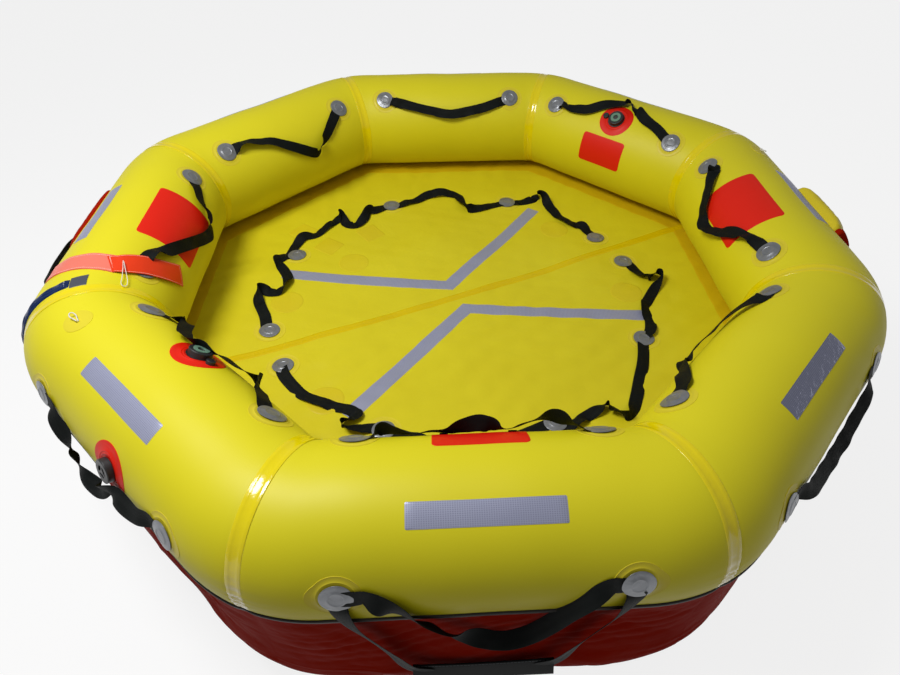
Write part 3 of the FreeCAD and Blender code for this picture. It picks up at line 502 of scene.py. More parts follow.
seam_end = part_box("floor_seam_tape")[1]
seam_reach = math.hypot(seam_end.x, seam_end.y)
floor_tape_half = 0.015
along, across = crossed(np.linspace(-seam_reach, seam_reach, 401), np.linspace(-1, 1, 17))
lift = 0.0012 * (1 - across**8) + 0.0006 * np.exp(-(((np.abs(across) - 0.5) / 0.1) ** 2))
tape = on_floor(*turned(along, across * floor_tape_half, floor_seam_angle), lift)
flat = np.stack([across * floor_tape_half, along], axis=-1)
floor_tape = coated_fabric("floor_seam_tape", (0.74, 0.56, 0.0), (0.66, 0.47, 0.0), 0.26, crease=0.2,
                           crease_size=40.0, spread=0.9)
make_piece("floor_seam_tape", [(tape, flat, False)], floor_tape, ["floor_seam_tape"])


def rounded(length, width, corner, rows=10, columns=96):
    """Places in a rectangle with round corners: rings from its middle to its edge, closed about the middle.

    The outline goes round as a superellipse's angle does, pulled on to the straight sides and corner arcs.
    """
    angle = np.linspace(0, math.tau, columns, endpoint=False)
    box_x, box_y = length / 2 - corner, width / 2 - corner
    straight = 2 * (length + width) - 8 * corner
    whole = straight + math.tau * corner
    place = angle / math.tau * whole
    edges = [2 * box_y, math.pi / 2 * corner, 2 * box_x, math.pi / 2 * corner] * 2
    stops = np.concatenate([[0], np.cumsum(edges)])
    x, y = np.zeros(columns), np.zeros(columns)
    for index, (start, end) in enumerate(zip(stops[:-1], stops[1:])):
        inside = (place >= start) & (place <= end + 1e-9)
        share = (place[inside] - start) / max(end - start, 1e-9)
        quarter = index // 2 * math.pi / 2
        outward = np.array([math.cos(quarter), math.sin(quarter)])
        onward = np.array([-outward[1], outward[0]])
        depth, half = (box_x, box_y) if index // 2 % 2 == 0 else (box_y, box_x)
        if index % 2 == 0:
            spot = outward[:, None] * (depth + corner) + onward[:, None] * half * (2 * share - 1)
        else:
            turn = share * math.pi / 2
            spot = outward[:, None] * (depth + corner * np.cos(turn))
            spot = spot + onward[:, None] * (half + corner * np.sin(turn))
        x[inside], y[inside] = spot
    rings = np.linspace(0, 1, rows)[:, None]
    return rings * x, rings * y


def laid(place, x, y, height):
    """A grid on a surface that closes round its middle, with x and y as its flat places."""
    return place(x, y, height), np.stack([x, y], axis=-1), True


def plate(place, x, y, thickness, lap=0.0004):
    """A thin flat piece on a surface: its face, and an edge that turns down just into the surface.

    place(x, y, height) gives the surface's points; x and y come as rings from the middle to the edge.
    """
    edge_x, edge_y = x[-1:], y[-1:]
    x = np.concatenate([x[:-1], edge_x * 0.995, edge_x, edge_x * 1.001])
    y = np.concatenate([y[:-1], edge_y * 0.995, edge_y, edge_y * 1.001])
    height = np.full(x.shape, thickness)
    height[-2] = thickness * 0.6
    height[-1] = -lap
    return laid(place, x, y, height)


shade_fabric = coated_fabric("floor_patch_fabric", (0.72, 0.60, 0.014), (0.66, 0.52, 0.010), 0.38, crease=0.2,
                             crease_size=18.0, spread=0.8)
rounds = ((0.430, 128), (0.560, 22), (0.590, -24), (0.585, 159), (0.622, -153.5))
squares = ((0.715, 122), (0.570, 124), (0.520, 106))
shade_grids = []
for spots, corner, size in ((rounds, 0.0549, 0.110), (squares, 0.006, 0.085)):
    for circle, from_seam in spots:
        turn = floor_seam_angle + math.radians(from_seam)
        shade_grids.append(plate(lambda x, y, height: on_floor(*turned(circle + x, y, turn), height),
                                 *rounded(size, size, corner), 0.0004))
make_piece("floor_stiffening_patches", shade_grids, shade_fabric, ["floor_stiffening_patches"])


# Reflective tapes --------------------------------------------------------------------------------------------
# Lilac-grey glass-bead tape on each side of the upper tube, and two bent strips of it on the floor. Its foil is
# sealed in a honeycomb of small cells.


def reflective_tape(name, metallic, roughness, sparkle):
    """Honeycomb of dark cells between pale seal lines, in rows a little lower than they are wide."""
    material, tree, shader = new_material(name)
    place = add(tree, "TexCoord")
    size = add(tree, "Mapping", {"Vector": place.outputs["UV"], "Scale": (225, 260, 1)})
    cells = add(tree, "TexVoronoi", {"Vector": size, "Scale": 1.0, "Randomness": 0.12},
                voronoi_dimensions="2D", feature="DISTANCE_TO_EDGE")
    line = add(tree, "MapRange", {"Value": cells.outputs["Distance"], "From Min": 0.10, "From Max": 0.22})
    pale = mixed(tree, noise(tree, 9.0, 4.0), (0.46, 0.48, 0.62), (0.36, 0.38, 0.52))
    crumple = bumped(tree, noise(tree, 60.0, 4.0, distortion=1.0), sparkle, 0.003)
    join(tree, shader, {"Base Color": mixed(tree, line, pale, (0.27, 0.28, 0.41)), "Normal": crumple,
                        "Metallic": metallic, "Roughness": roughness})
    return material


bead_tape = reflective_tape("reflective_bead_tape", 0.25, 0.42, 0.12)
# Painted highlight: the front-right tape takes a lit copy of the bead tape, metallic, glossier and more crumpled,
# so it gleams where the real tape sends the light back.
bead_tape_lit_copy = reflective_tape("reflective_bead_tape_lit_copy", 0.95, 0.2, 1.0)


def tube_spot(side, along, around):
    """Places on the upper tube round a spot: x goes along the side, y up round the tube, and height outward."""
    return lambda x, y, height: on_tube(side, along + x, around + np.degrees(y / upper_radius), height)


reflector_around = 63.5
plain_tapes = []
for side in SIDES:
    outline = rounded(0.300, 0.050, 0.002, rows=9, columns=240)
    tape = plate(tube_spot(side, 0, reflector_around), *outline, 0.0007)
    if side == "front_right":
        bright = [tape]
    else:
        plain_tapes.append(tape)
make_piece("reflective_tapes", plain_tapes, bead_tape, ["tube_reflective_tapes"])
make_piece("reflective_tape_front_right", bright, bead_tape_lit_copy)

chevron_offset, chevron_leg, chevron_width, chevron_slope = 0.070, 0.600, 0.050, math.radians(30)
chevron_grids = []
for half in (0, math.pi):
    for hand in (-1, 1):
        across = np.linspace(-1, 1, 11)[None, :] * chevron_width / 2
        start = across * math.tan(chevron_slope)
        run = start + (chevron_leg - start) * np.linspace(0, 1, 121)[:, None]
        across = np.broadcast_to(across, run.shape)
        beside = hand * (run * math.cos(chevron_slope) - across * math.sin(chevron_slope))
        away = chevron_offset + run * math.sin(chevron_slope) + across * math.cos(chevron_slope)
        height = 0.0008 * np.clip((1 - np.abs(across) * 2 / chevron_width) / 0.02, 0, 1)
        points = on_floor(*turned(beside, away, floor_seam_angle + half), height)
        flat = np.stack([run, across], axis=-1)
        chevron_grids.append((points[::hand], flat[::hand], False))
make_piece("floor_reflective_strips", chevron_grids, bead_tape, ["floor_reflective_tapes"])


# Anchor patches and discs ------------------------------------------------------------------------------------
# Where webbing is made fast there is a round welded patch, stepped where its second layer ends, and a thin grey
# plastic disc that is glued over the webbing. The discs have a moulded ring, and have warped a little.

disc_radius = 0.033
patch_radius = 0.051
inner_span, inner_around = 0.257, 132.0
outer_span, outer_around = 0.280, 15.0
floor_disc_circle = 0.640
floor_disc_angles = (8, 46, 90, 134, 172)
patch_fabric = coated_fabric("welded_patch_fabric", (0.72, 0.61, 0.028), (0.69, 0.57, 0.022), 0.42)
disc_plastic = mottled("grey_disc_plastic", 26.0, 4.0, (0.15, 0.16, 0.17), (0.34, 0.35, 0.38), 0.55, 0.004,
                       {"Metallic": 0.5, "Roughness": 0.36}, distortion=1.4)


def floor_spot(circle, from_seam):
    """Places on the floor round a spot on a circle about its middle: x and y are the raft's own directions."""
    centre_x, centre_y = turned(circle, 0, floor_seam_angle + math.radians(from_seam))
    return lambda x, y, height: on_floor(centre_x + x, centre_y + y, height)


def turned_round(place, radii, heights, seed=0, warp=0.0, rim=1.0):
    """A round piece from a profile of radii and heights, bent out of true towards its rim."""
    dice = np.random.default_rng(seed)
    angle = np.linspace(0, math.tau, 64, endpoint=False)
    radii, heights = np.array(radii)[:, None], np.array(heights)[:, None]
    far = (radii / rim) ** 2
    bend = np.sin(2 * angle + dice.uniform(0, 6)) + 0.6 * np.sin(3 * angle + dice.uniform(0, 6))
    x, y = radii * np.cos(angle), radii * np.sin(angle)
    return laid(place, x, y, heights + warp * far * bend)


patch_radii = [0, 0.012, 0.025, 0.0372, 0.0380, 0.0392, 0.045, 0.0495, 0.0506, patch_radius]
patch_heights = [0.0010, 0.0010, 0.0010, 0.0010, 0.0013, 0.0006, 0.0006, 0.0006, 0.0009, -0.0005]
disc_radii = [0, 0.010, 0.0137, 0.0150, 0.0160, 0.0172, 0.0190, 0.026, 0.0315, 0.0328, disc_radius, 0.0322,
              0.028, 0]
disc_heights = [0.0058, 0.0058, 0.0056, 0.0066, 0.0068, 0.0066, 0.0054, 0.0052, 0.0047, 0.0043, 0.0036, 0.0030,
                0.0030, 0.0030]
fittings = {"inner": [], "outer": [], "floor": []}
for side in SIDES:
    for end in (-1, 1):
        fittings["inner"].append(tube_spot(side, end * inner_span, inner_around))
        fittings["outer"].append(tube_spot(side, end * outer_span, outer_around))
for half in (1, -1):
    fittings["floor"] += [floor_spot(floor_disc_circle, half * from_seam) for from_seam in floor_disc_angles]
for name, spots in fittings.items():
    patches = [turned_round(spot, patch_radii, patch_heights) for spot in spots]
    discs = [turned_round(spot, disc_radii, disc_heights, seed, 0.0007, disc_radius)
             for seed, spot in enumerate(spots)]
    make_piece(name + "_anchor_patches", patches, patch_fabric, [name + "_anchor_patches"],
               sharp=40)
    make_piece(name + "_anchor_discs", discs, disc_plastic, [name + "_anchor_discs"], sharp=40)


# Grab lines on the tube's inner side -------------------------------------------------------------------------
# Black polyester webbing runs from disc to disc. It is longer than the way between them, so it lies in slack
# waves on the tube, lifts off it and turns over on its edge.

webbing_width = 0.038
webbing_thickness = 0.0014
disc_height = 0.0024


def flat_axes(tree):
    """The two axes of a piece's flat places, lengthwise first."""
    place = add(tree, "TexCoord")
    return list(add(tree, "SeparateXYZ", {0: place.outputs["UV"]}).outputs)[:2]


webbing, tree, shader = new_material("black_webbing")
lengthwise, crosswise = flat_axes(tree)
slant = reckon(tree, "PINGPONG", crosswise, 0.0095)
rib_pitch = 0.0012
ribs = reckon(tree, "PINGPONG", reckon(tree, "ADD", lengthwise, slant), rib_pitch)
rib_height = add(tree, "MapRange", {"Value": ribs, "From Max": rib_pitch})
thread = mixed(tree, noise(tree, 18.0, 4.0), (0.003, 0.004, 0.004), (0.010, 0.013, 0.012))
join(tree, shader, {"Base Color": mixed(tree, rib_height, (0.002, 0.003, 0.003), thread),
                    "Normal": bumped(tree, rib_height, 0.5, 0.0005), "Roughness": 0.62,
                    "Specular IOR Level": 0.12})


def smooth_through(keys, per_key=14):
    """A smooth line (Catmull-Rom) through rows of keys, which may hold more than places."""
    keys = np.array(keys, float)
    padded = np.vstack([2 * keys[0] - keys[1], keys, 2 * keys[-1] - keys[-2]])
    share = np.linspace(0, 1, per_key, endpoint=False)[:, None, None]
    before, here, after, beyond = padded[:-3], padded[1:-2], padded[2:-1], padded[3:]
    line = 0.5 * (
        2 * here
        + (after - before) * share
        + (2 * before - 5 * here + 4 * after - beyond) * share**2
        + (3 * here - before - 3 * after + beyond) * share**3
    )
    return np.vstack([line.transpose(1, 0, 2).reshape(-1, keys.shape[1]), keys[-1:]])


def unit(vectors):
    """Vectors of length one."""
    return vectors / np.linalg.norm(vectors, axis=-1, keepdims=True)


def run_along(line):
    """Length along a line from its start to each of its points."""
    return np.concatenate([[0], np.cumsum(np.linalg.norm(np.diff(line, axis=0), axis=-1))])


def closed_ends(points, flat, ends):
    """A band whose first and last rows are drawn together to one point each."""
    first, last = [np.broadcast_to(end, points[:1].shape) for end in ends]
    return np.concatenate([first, points, last]), np.concatenate([flat[:1], flat, flat[-1:]]), True


def edge_waves(u, v, seeds, count, shortest, longest):
    """Waves for a band's two edges, with a seed for each."""
    return np.stack([waves(u, v, seed, count, shortest, longest) for seed in seeds], axis=-1)


def band_along(centre, face, roll, width=webbing_width, thickness=webbing_thickness, ripple=None):
    """A flat band along a line: its face starts out as given and is rolled about the line by roll degrees.

    The section is a superellipse, nearly a rectangle with soft edges. A ripple moves the two edges up and down
    along the face as rows of (one edge, other edge).
    """
    along = unit(np.gradient(centre, axis=0))
    face = unit(face - along * np.sum(face * along, axis=-1, keepdims=True))
    side_on = np.cross(along, face)
    roll = np.radians(np.broadcast_to(roll, len(centre)))[:, None]
    face, across = face * np.cos(roll) - side_on * np.sin(roll), side_on * np.cos(roll) + face * np.sin(roll)
    turn = np.linspace(0, math.tau, 24, endpoint=False)
    section_x = np.sign(np.cos(turn)) * np.abs(np.cos(turn)) ** 0.25 * width / 2
    section_y = np.sign(np.sin(turn)) * np.abs(np.sin(turn)) ** 0.6 * thickness / 2
    points = centre[:, None] + across[:, None] * section_x[:, None] + face[:, None] * section_y[:, None]
    if ripple is not None:
        share = (section_x / width + 0.5)[:, None]
        rise = ripple[:, None, :1] * (1 - share) ** 2 + ripple[:, None, 1:] * share**2
        points = points + face[:, None] * rise
    flat = np.stack(np.broadcast_arrays(run_along(centre)[:, None], section_x), axis=-1)
    return closed_ends(points, flat, centre[[0, -1]])


def line_on_tube(side, keys, seed):
    """Webbing over the tube through keys of (mm along, degrees around, mm lifted, degrees rolled).

    It is held flat under the side's two discs, so its ends are not among the keys.
    """
    end = math.copysign(271, keys[0][0])
    path = smooth_through(((end, 132, 2, 0), *keys, (-end, 132, 2, 0)))
    along, around = path[:, 0] / 1000, path[:, 1]
    loose = np.clip((0.238 - np.abs(along)) / 0.028, 0, 1)
    loose = loose**2 * (3 - 2 * loose)
    lift, roll = 0.002 + (path[:, 2] / 1000 - 0.002) * loose, path[:, 3] * loose
    lift = np.maximum(lift, disc_height * 0.8 + webbing_width / 2 * np.abs(np.sin(np.radians(roll))))
    face = on_ring(side, along, around, 1.0, 0) - on_ring(side, along, around, 0.0, 0)
    edges = edge_waves(along, 0 * along, (seed, seed + 50), 3, 0.04, 0.10)
    ripple = 0.0022 * loose[:, None] * (edges + 0.6)
    return band_along(on_tube(side, along, around, lift), face, roll, ripple=ripple)


INNER_LINES = {
    "back_left": (
        (235, 133, 5, 20), (201, 131, 10, 45), (150, 134, 12, 35), (91, 140, 12, 20), (20, 153, 14, 5),
        (-49, 166, 14, -10), (-80, 170, 12, -25), (-100, 164, 10, -60), (-130, 158, 10, -20),
        (-185, 146, 12, 5), (-222, 138, 10, 10), (-245, 134, 3, 0),
    ),
    "left": (
        (-235, 136, 6, 0), (-190, 144, 8, 5), (-155, 151, 10, 10), (-128, 161, 10, 55), (-110, 170, 12, 10),
        (-75, 172, 14, -15), (-18, 166, 14, 0), (60, 155, 12, 10), (120, 146, 10, 5), (153, 141, 10, -10),
        (185, 133, 10, -40), (215, 130, 8, -20), (240, 131, 4, 0),
    ),
    "back": (
        (235, 134, 6, 50), (205, 137, 10, -20), (155, 141, 12, 10), (60, 148, 12, 15), (-9, 152, 14, 20),
        (-80, 149, 12, 10), (-154, 144, 10, 5), (-220, 137, 5, 0),
    ),
    "back_right": (
        (229, 131, 6, 50), (190, 131, 8, 30), (150, 130, 10, 0), (105, 126, 12, -10), (50, 113, 12, -10),
        (-10, 102, 12, 20), (-30, 103, 14, 70), (-60, 108, 12, 30), (-80, 109, 12, -30),
        (-120, 116, 10, -15), (-180, 122, 9, 0), (-230, 129, 6, 5),
    ),
    "right": (
        (225, 129, 6, 20), (205, 128, 10, 60), (190, 132, 12, 10), (140, 143, 12, -5), (81, 158, 12, 0),
        (35, 166, 14, 40), (-9, 164, 14, 60), (-60, 157, 12, 30), (-100, 148, 10, 0), (-133, 143, 10, 10),
        (-165, 139, 10, 50), (-195, 136, 9, 10), (-227, 134, 6, 0),
    ),
    "front_right": (
        (222, 130, 8, 30), (190, 137, 12, 10), (150, 148, 12, 0), (95, 158, 12, 0), (40, 163, 14, 0),
        (-20, 163, 14, 5), (-60, 160, 12, 30), (-85, 156, 12, -20), (-130, 147, 10, 0), (-175, 138, 10, 10),
        (-204, 133, 8, 0), (-235, 133, 5, 0),
    ),
    "front_left": (
        (-255, 135, 4, 10), (-236, 140, 10, 60), (-215, 152, 16, 40), (-190, 150, 16, -10),
        (-140, 138, 14, 0), (-90, 129, 17, 5), (-56, 126, 19, 35), (-30, 130, 19, 60), (14, 136, 19, 20),
        (50, 144, 15, 0), (80, 156, 18, 20), (100, 158, 16, 60), (114, 150, 12, 70), (160, 143, 12, 20),
        (224, 133, 5, 0),
    ),
    "front": (
        (-238, 133, 3, 0), (-222, 136, 8, 20), (-203, 138, 17, 55), (-180, 139, 10, 30), (-151, 141, 5, 5),
        (-110, 142, 5, 0), (-74, 141, 8, 10), (-40, 140, 14, 45), (0, 139, 22, 70), (25, 139, 16, 55),
        (49, 140, 7, 10), (75, 140, 8, 0), (105, 138, 18, 5), (135, 136, 28, 20), (160, 134, 32, 50),
        (182, 133, 24, 50), (205, 131, 12, 15), (232, 131, 3, 0),
    ),
}
inner_grids = [line_on_tube(side, keys, index) for index, (side, keys) in enumerate(INNER_LINES.items())]
make_piece("inner_grab_lines", inner_grids, webbing, ["inner_grab_lines"], sharp=60)


# Lifelines on the floor --------------------------------------------------------------------------------------
# The same webbing in a loop on each half of the floor. It lies flat with small lifts, and where it doubles back
# it stands on its edge.

BACK_LIFELINE = (
    (-0.626, -0.176, 0), (-0.644, -0.097, 0), (-0.674, -0.030, 0), (-0.690, 0.039, 80), (-0.652, 0.032, 160),
    (-0.622, 0.036, 180), (-0.601, 0.065, 230), (-0.597, 0.095, 200), (-0.606, 0.132, 180),
    (-0.630, 0.177, 180), (-0.648, 0.205, 130), (-0.635, 0.236, 170), (-0.613, 0.257, 180),
    (-0.599, 0.318, 180), (-0.571, 0.365, 150), (-0.532, 0.388, 175), (-0.496, 0.437, 190),
    (-0.465, 0.481, 180), (-0.447, 0.513, 265), (-0.425, 0.466, 345), (-0.399, 0.448, 350),
    (-0.375, 0.457, 360), (-0.352, 0.489, 330), (-0.333, 0.535, 300), (-0.308, 0.552, 340),
    (-0.261, 0.585, 360), (-0.218, 0.590, 360), (-0.151, 0.622, 360), (-0.084, 0.663, 330),
    (-0.015, 0.675, 340), (0.030, 0.658, 360), (0.046, 0.602, 380), (0.064, 0.538, 445), (0.112, 0.550, 520),
    (0.186, 0.580, 540), (0.234, 0.588, 540), (0.291, 0.594, 540), (0.341, 0.607, 520), (0.361, 0.634, 560),
    (0.381, 0.630, 620), (0.400, 0.567, 690), (0.427, 0.487, 720), (0.470, 0.424, 735), (0.512, 0.402, 700),
    (0.529, 0.370, 720), (0.558, 0.313, 720),
)
FRONT_LIFELINE = (
    (0.624, 0.174, 0), (0.647, 0.115, 0), (0.668, 0.061, 20), (0.685, 0.036, 80), (0.707, 0.066, 40),
    (0.725, 0.054, 90), (0.689, -0.008, 170), (0.649, -0.070, 180), (0.629, -0.105, 210),
    (0.626, -0.150, 190), (0.628, -0.184, 180), (0.612, -0.230, 160), (0.587, -0.255, 180),
    (0.558, -0.356, 190), (0.526, -0.436, 180), (0.495, -0.512, 180), (0.475, -0.556, 200),
    (0.446, -0.594, 260), (0.415, -0.564, 330), (0.401, -0.542, 290), (0.373, -0.555, 340),
    (0.336, -0.574, 360), (0.310, -0.594, 330), (0.275, -0.610, 360), (0.245, -0.591, 360),
    (0.120, -0.640, 360), (0.000, -0.660, 350), (-0.120, -0.640, 360), (-0.245, -0.591, 360),
    (-0.300, -0.592, 345), (-0.330, -0.593, 320), (-0.350, -0.579, 270), (-0.332, -0.561, 220),
    (-0.311, -0.543, 200), (-0.330, -0.520, 175), (-0.383, -0.496, 180), (-0.441, -0.468, 165),
    (-0.489, -0.435, 180), (-0.541, -0.370, 190), (-0.562, -0.312, 180),
)
for name, keys, seed in (("back", BACK_LIFELINE, 90), ("front", FRONT_LIFELINE, 95)):
    path = smooth_through(keys)
    x, y, roll = path.T
    turns = floor_seam_angle + np.radians(np.outer((1, -1), floor_disc_angles).ravel())
    disc_x, disc_y = floor_disc_circle * np.cos(turns), floor_disc_circle * np.sin(turns)
    away = np.hypot(x[:, None] - disc_x, y[:, None] - disc_y)
    loose = np.clip((away.min(axis=1) - 0.034) / 0.03, 0, 1)
    lift = 0.0022 + webbing_width / 2 * np.abs(np.sin(np.radians(roll)))
    lift = lift + 0.003 * loose * np.clip(waves(x, y, seed, 5, 0.06, 0.16), 0, 2)
    centre = on_floor(x, y, lift)
    edges = edge_waves(x, y, (seed + 1, seed + 2), 4, 0.05, 0.12)
    up = np.broadcast_to((0.0, 0.0, 1.0), centre.shape)
    line = band_along(centre, up, roll, ripple=0.0016 * loose[:, None] * (edges + 0.8))
    make_piece("floor_lifeline_" + name, [line], webbing, ["floor_lifeline_" + name], sharp=60)


# Grab lines on the tube's outer side -------------------------------------------------------------------------
# The same webbing hangs in slack arcs from disc to disc, clear of the tube in the middle.


def beside(side, keys, seed=None, width=webbing_width, thickness=webbing_thickness, per_key=14):
    """A band beside the upper tube through keys of (mm along, mm out, mm up, degrees rolled).

    Out and up are from the tube's centreline. At no roll its face looks straight out, and a roll below zero
    turns it up.
    """
    path = smooth_through(keys, per_key)
    turn = side_turn[side]
    along, out, up = path[:, 0] / 1000, path[:, 1] / 1000 + apothem, path[:, 2] / 1000
    centre = np.stack([*turned(out, along, turn), upper_height + up], axis=-1)
    hand = np.sign(along[-1] - along[0])
    face = np.broadcast_to((math.cos(turn), math.sin(turn), 0.0), centre.shape)
    ripple = None
    if seed is not None:
        loose = np.clip((np.abs(along[[0, -1]]).max() - np.abs(along)) / 0.08, 0, 1)[:, None]
        ripple = 0.002 * loose * edge_waves(along, 0 * along, (seed, seed + 9), 3, 0.05, 0.14)
    return band_along(centre, face, hand * -path[:, 3], width, thickness, ripple)


disc_out, disc_up = 178.6, 47.9


def anchored(hand):
    """Keys that hold a band flat under an outer disc."""
    flat = [(hand * along, disc_out, disc_up, -15) for along in (294, 262, 244)]
    return flat + [(hand * 228, disc_out + 0.6, disc_up, -15)]


def hanging(sag, bulge, tilt, seed):
    """Keys of a slack arc between two discs, a little off true as webbing hangs."""
    dice = np.random.default_rng(seed)
    lean, share = dice.uniform(-0.1, 0.1), np.linspace(-0.78, 0.78, 9)
    depth = (1 - share**2) ** 0.8 * (1 + lean * share)
    out = disc_out + bulge * (1 - share**2) ** 0.35
    roll = tilt + dice.uniform(-9, 9, share.size)
    return [(x * 232, o, disc_up - sag * d, r) for x, o, d, r in zip(share, out, depth, roll)]


OUTER_LINES = {
    "front": [
        (-203, 189, 38, -30), (-173, 191, 14, 0), (-140, 192, -28, 38), (-100, 193, -70, 46),
        (-72, 192, -97, 32), (-45, 191, -114, -20), (-10, 191, -130, -58), (21, 191, -146, -64),
        (52, 191, -146, -64), (89, 191, -122, -62), (127, 191, -74, -60), (158, 191, -22, -58),
        (196, 190, 27, -44),
    ],
    "front_right": [
        (-198, 193, 35, -38), (-150, 197, 18, -50), (-90, 199, 4, -50), (-20, 201, -6, -50),
        (50, 202, -8, -50), (120, 200, 0, -48), (180, 198, 18, -42), (205, 192, 35, -30),
    ],
    "front_left": [
        (-200, 192, 32, -42), (-165, 195, 14, -58), (-135, 199, -4, -20), (-115, 203, -16, 25),
        (-90, 209, -28, 0), (-55, 213, -44, -50), (-10, 208, -42, -60), (25, 206, -24, -20),
        (50, 203, 2, 25), (75, 199, 16, 0), (105, 194, 24, -42), (150, 194, 30, -50), (196, 191, 40, -34),
    ],
    "left": [
        (-205, 208, 24, -10), (-150, 226, -8, -4), (-90, 236, 8, 0), (-20, 238, 20, 0), (50, 238, 22, -2),
        (130, 231, 25, -6), (205, 206, 41, -12),
    ],
    "right": hanging(108, 20, -4, 3),
    "back_right": hanging(118, 20, -4, 4),
    "back": hanging(108, 20, -4, 5),
    "back_left": hanging(118, 20, -4, 6),
}
outer_grids = []
for index, (side, keys) in enumerate(OUTER_LINES.items()):
    outer_grids.append(beside(side, anchored(-1) + keys + anchored(1)[::-1], 70 + index))
make_piece("outer_grab_lines", outer_grids, webbing, ["outer_grab_lines"], sharp=60)


# Boarding strap and step -------------------------------------------------------------------------------------
# Webbing comes down from under the front side's two outer discs and carries a wide flat step, which is the
# webbing sewn into a stiff black sleeve.

strap_grids = []
for hand, twist in ((-1, (-5, 12, 26, 32, 28, 14, 0)), (1, (-20, 10, 28, 32, 28, 10, -4))):
    route = [(280, 180.0, 32), (277, 187, 2), (262, 189.5, -55), (228, 189.5, -128), (194, 189.5, -202),
             (163, 189.5, -276), (120, 188.6, -312)]
    strap_grids.append(beside("front", [(hand * x, out, up, roll) for (x, out, up), roll in zip(route, twist)]))
make_piece("boarding_strap", strap_grids, webbing, ["boarding_strap"], sharp=60)
sleeve_cloth, tree, shader = new_material("step_sleeve")
lengthwise, crosswise = flat_axes(tree)
from_row = reckon(tree, "SUBTRACT", reckon(tree, "ABSOLUTE", crosswise), 0.0255)
on_row = reckon(tree, "COMPARE", from_row, 0.0, 0.0007)
on_stitch = reckon(tree, "GREATER_THAN", reckon(tree, "PINGPONG", lengthwise, 0.004), 0.0009)
thread = reckon(tree, "MULTIPLY", on_row, on_stitch)
weave_bump = bumped(tree, noise(tree, 500.0, 2.0), 0.5, 0.0005)
join(tree, shader, {"Base Color": mixed(tree, thread, (0.004, 0.005, 0.005), (0.12, 0.13, 0.14)),
                    "Normal": weave_bump, "Specular IOR Level": 0.12, "Roughness": 0.6})
step_keys = [(-157.5, 188.5, -311, -14), (-110, 188.5, -313, -12), (0, 188.5, -314, -10), (110, 188.5, -313, -12),
             (157.5, 188.5, -311, -14)]
step = beside("front", step_keys, width=0.058, thickness=0.0058, per_key=20)
make_piece("boarding_step", [step], sleeve_cloth, ["boarding_step"], sharp=60)


# Labels ------------------------------------------------------------------------------------------------------
# Bare orange-red coated patches with round corners, glued on the tube's inner side. The front one hangs over the
# edge into the raft, and two dark tabs of hook-and-loop hold the pocket behind it.

label_cloth = coated_fabric("orange_label", (0.78, 0.012, 0.0005), (0.72, 0.010, 0.0005), 0.5, crease=0.12,
                            crease_size=14.0)
LABELS = {"left": (0.251, 0.188, -0.008, 141), "right": (0.253, 0.192, -0.006, 130.5),
          "back_right": (0.182, 0.110, -0.006, 167.5), "front": (0.200, 0.110, 0.002, 130.5)}
label_grids = []
for side, (length, width, along, around) in LABELS.items():
    outline = rounded(length, width, 0.012, rows=26, columns=240)
    label_grids.append(plate(tube_spot(side, along, around), *outline, 0.0009))
make_piece("label_patches", label_grids, label_cloth, ["label_patches"])
tab_grids = []
for along in (-0.072, 0.076):
    tab_grids.append(plate(tube_spot("front", along, 143), *rounded(0.018, 0.014, 0.003, 5, 32), 0.0042))
make_piece("front_label_tabs", tab_grids, webbing, ["front_label_tabs"])


# Valves ------------------------------------------------------------------------------------------------------
# Each valve is welded into the tube through an orange patch with a raised ring. The bodies are black rubber with
# a fine grain, and the topping-off valves' seats are green.

valve_spots = [("front_left", -0.013, 128.5), ("back_right", -0.015, 126), ("front_left", 0.055, 17),
               ("back_right", 0.055, 17)]
valve_radii = [0, 0.020, 0.034, 0.0352, 0.0364, 0.0400, 0.0412, 0.0424, 0.056, 0.0635, 0.0646, 0.065]
valve_heights = [0.0010, 0.0010, 0.0010, 0.0019, 0.0011, 0.0011, 0.0019, 0.0011, 0.0010, 0.0010, 0.0008, -0.0005]
valve_patches = [turned_round(tube_spot(*spot), valve_radii, valve_heights) for spot in valve_spots]
make_piece("valve_patches", valve_patches, label_cloth, ["valve_patches"], sharp=40)


def moulded(name, dark, light, roughness, bump=0.25):
    """Moulded rubber or plastic: a mottled tone, a fine grain and uneven gloss."""
    material, tree, shader = new_material(name)
    mottle = noise(tree, 60.0, 5.0)
    join(tree, shader, {"Base Color": mixed(tree, mottle, dark, light),
                        "Normal": bumped(tree, noise(tree, 900.0, 2.0), bump, 0.0004),
                        "Roughness": uneven(tree, mottle, roughness, 0.08)})
    return material


black_rubber = moulded("valve_black_rubber", (0.010, 0.011, 0.012), (0.030, 0.031, 0.033), 0.42)
green_plastic = moulded("valve_green_plastic", (0.10, 0.22, 0.15), (0.20, 0.34, 0.25), 0.35)
poppet_plastic = moulded("valve_poppet_plastic", (0.030, 0.034, 0.032), (0.075, 0.080, 0.076), 0.3)
for name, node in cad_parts.items():
    finish = None
    if "poppet" in name:
        finish = poppet_plastic
    elif name == "topping_valve_seats":
        finish = green_plastic
    elif "valve_body" in name or name == "topping_valve_caps":
        finish = black_rubber
    if finish is not None:
        for material_slot in node.material_slots:
            material_slot.material = finish
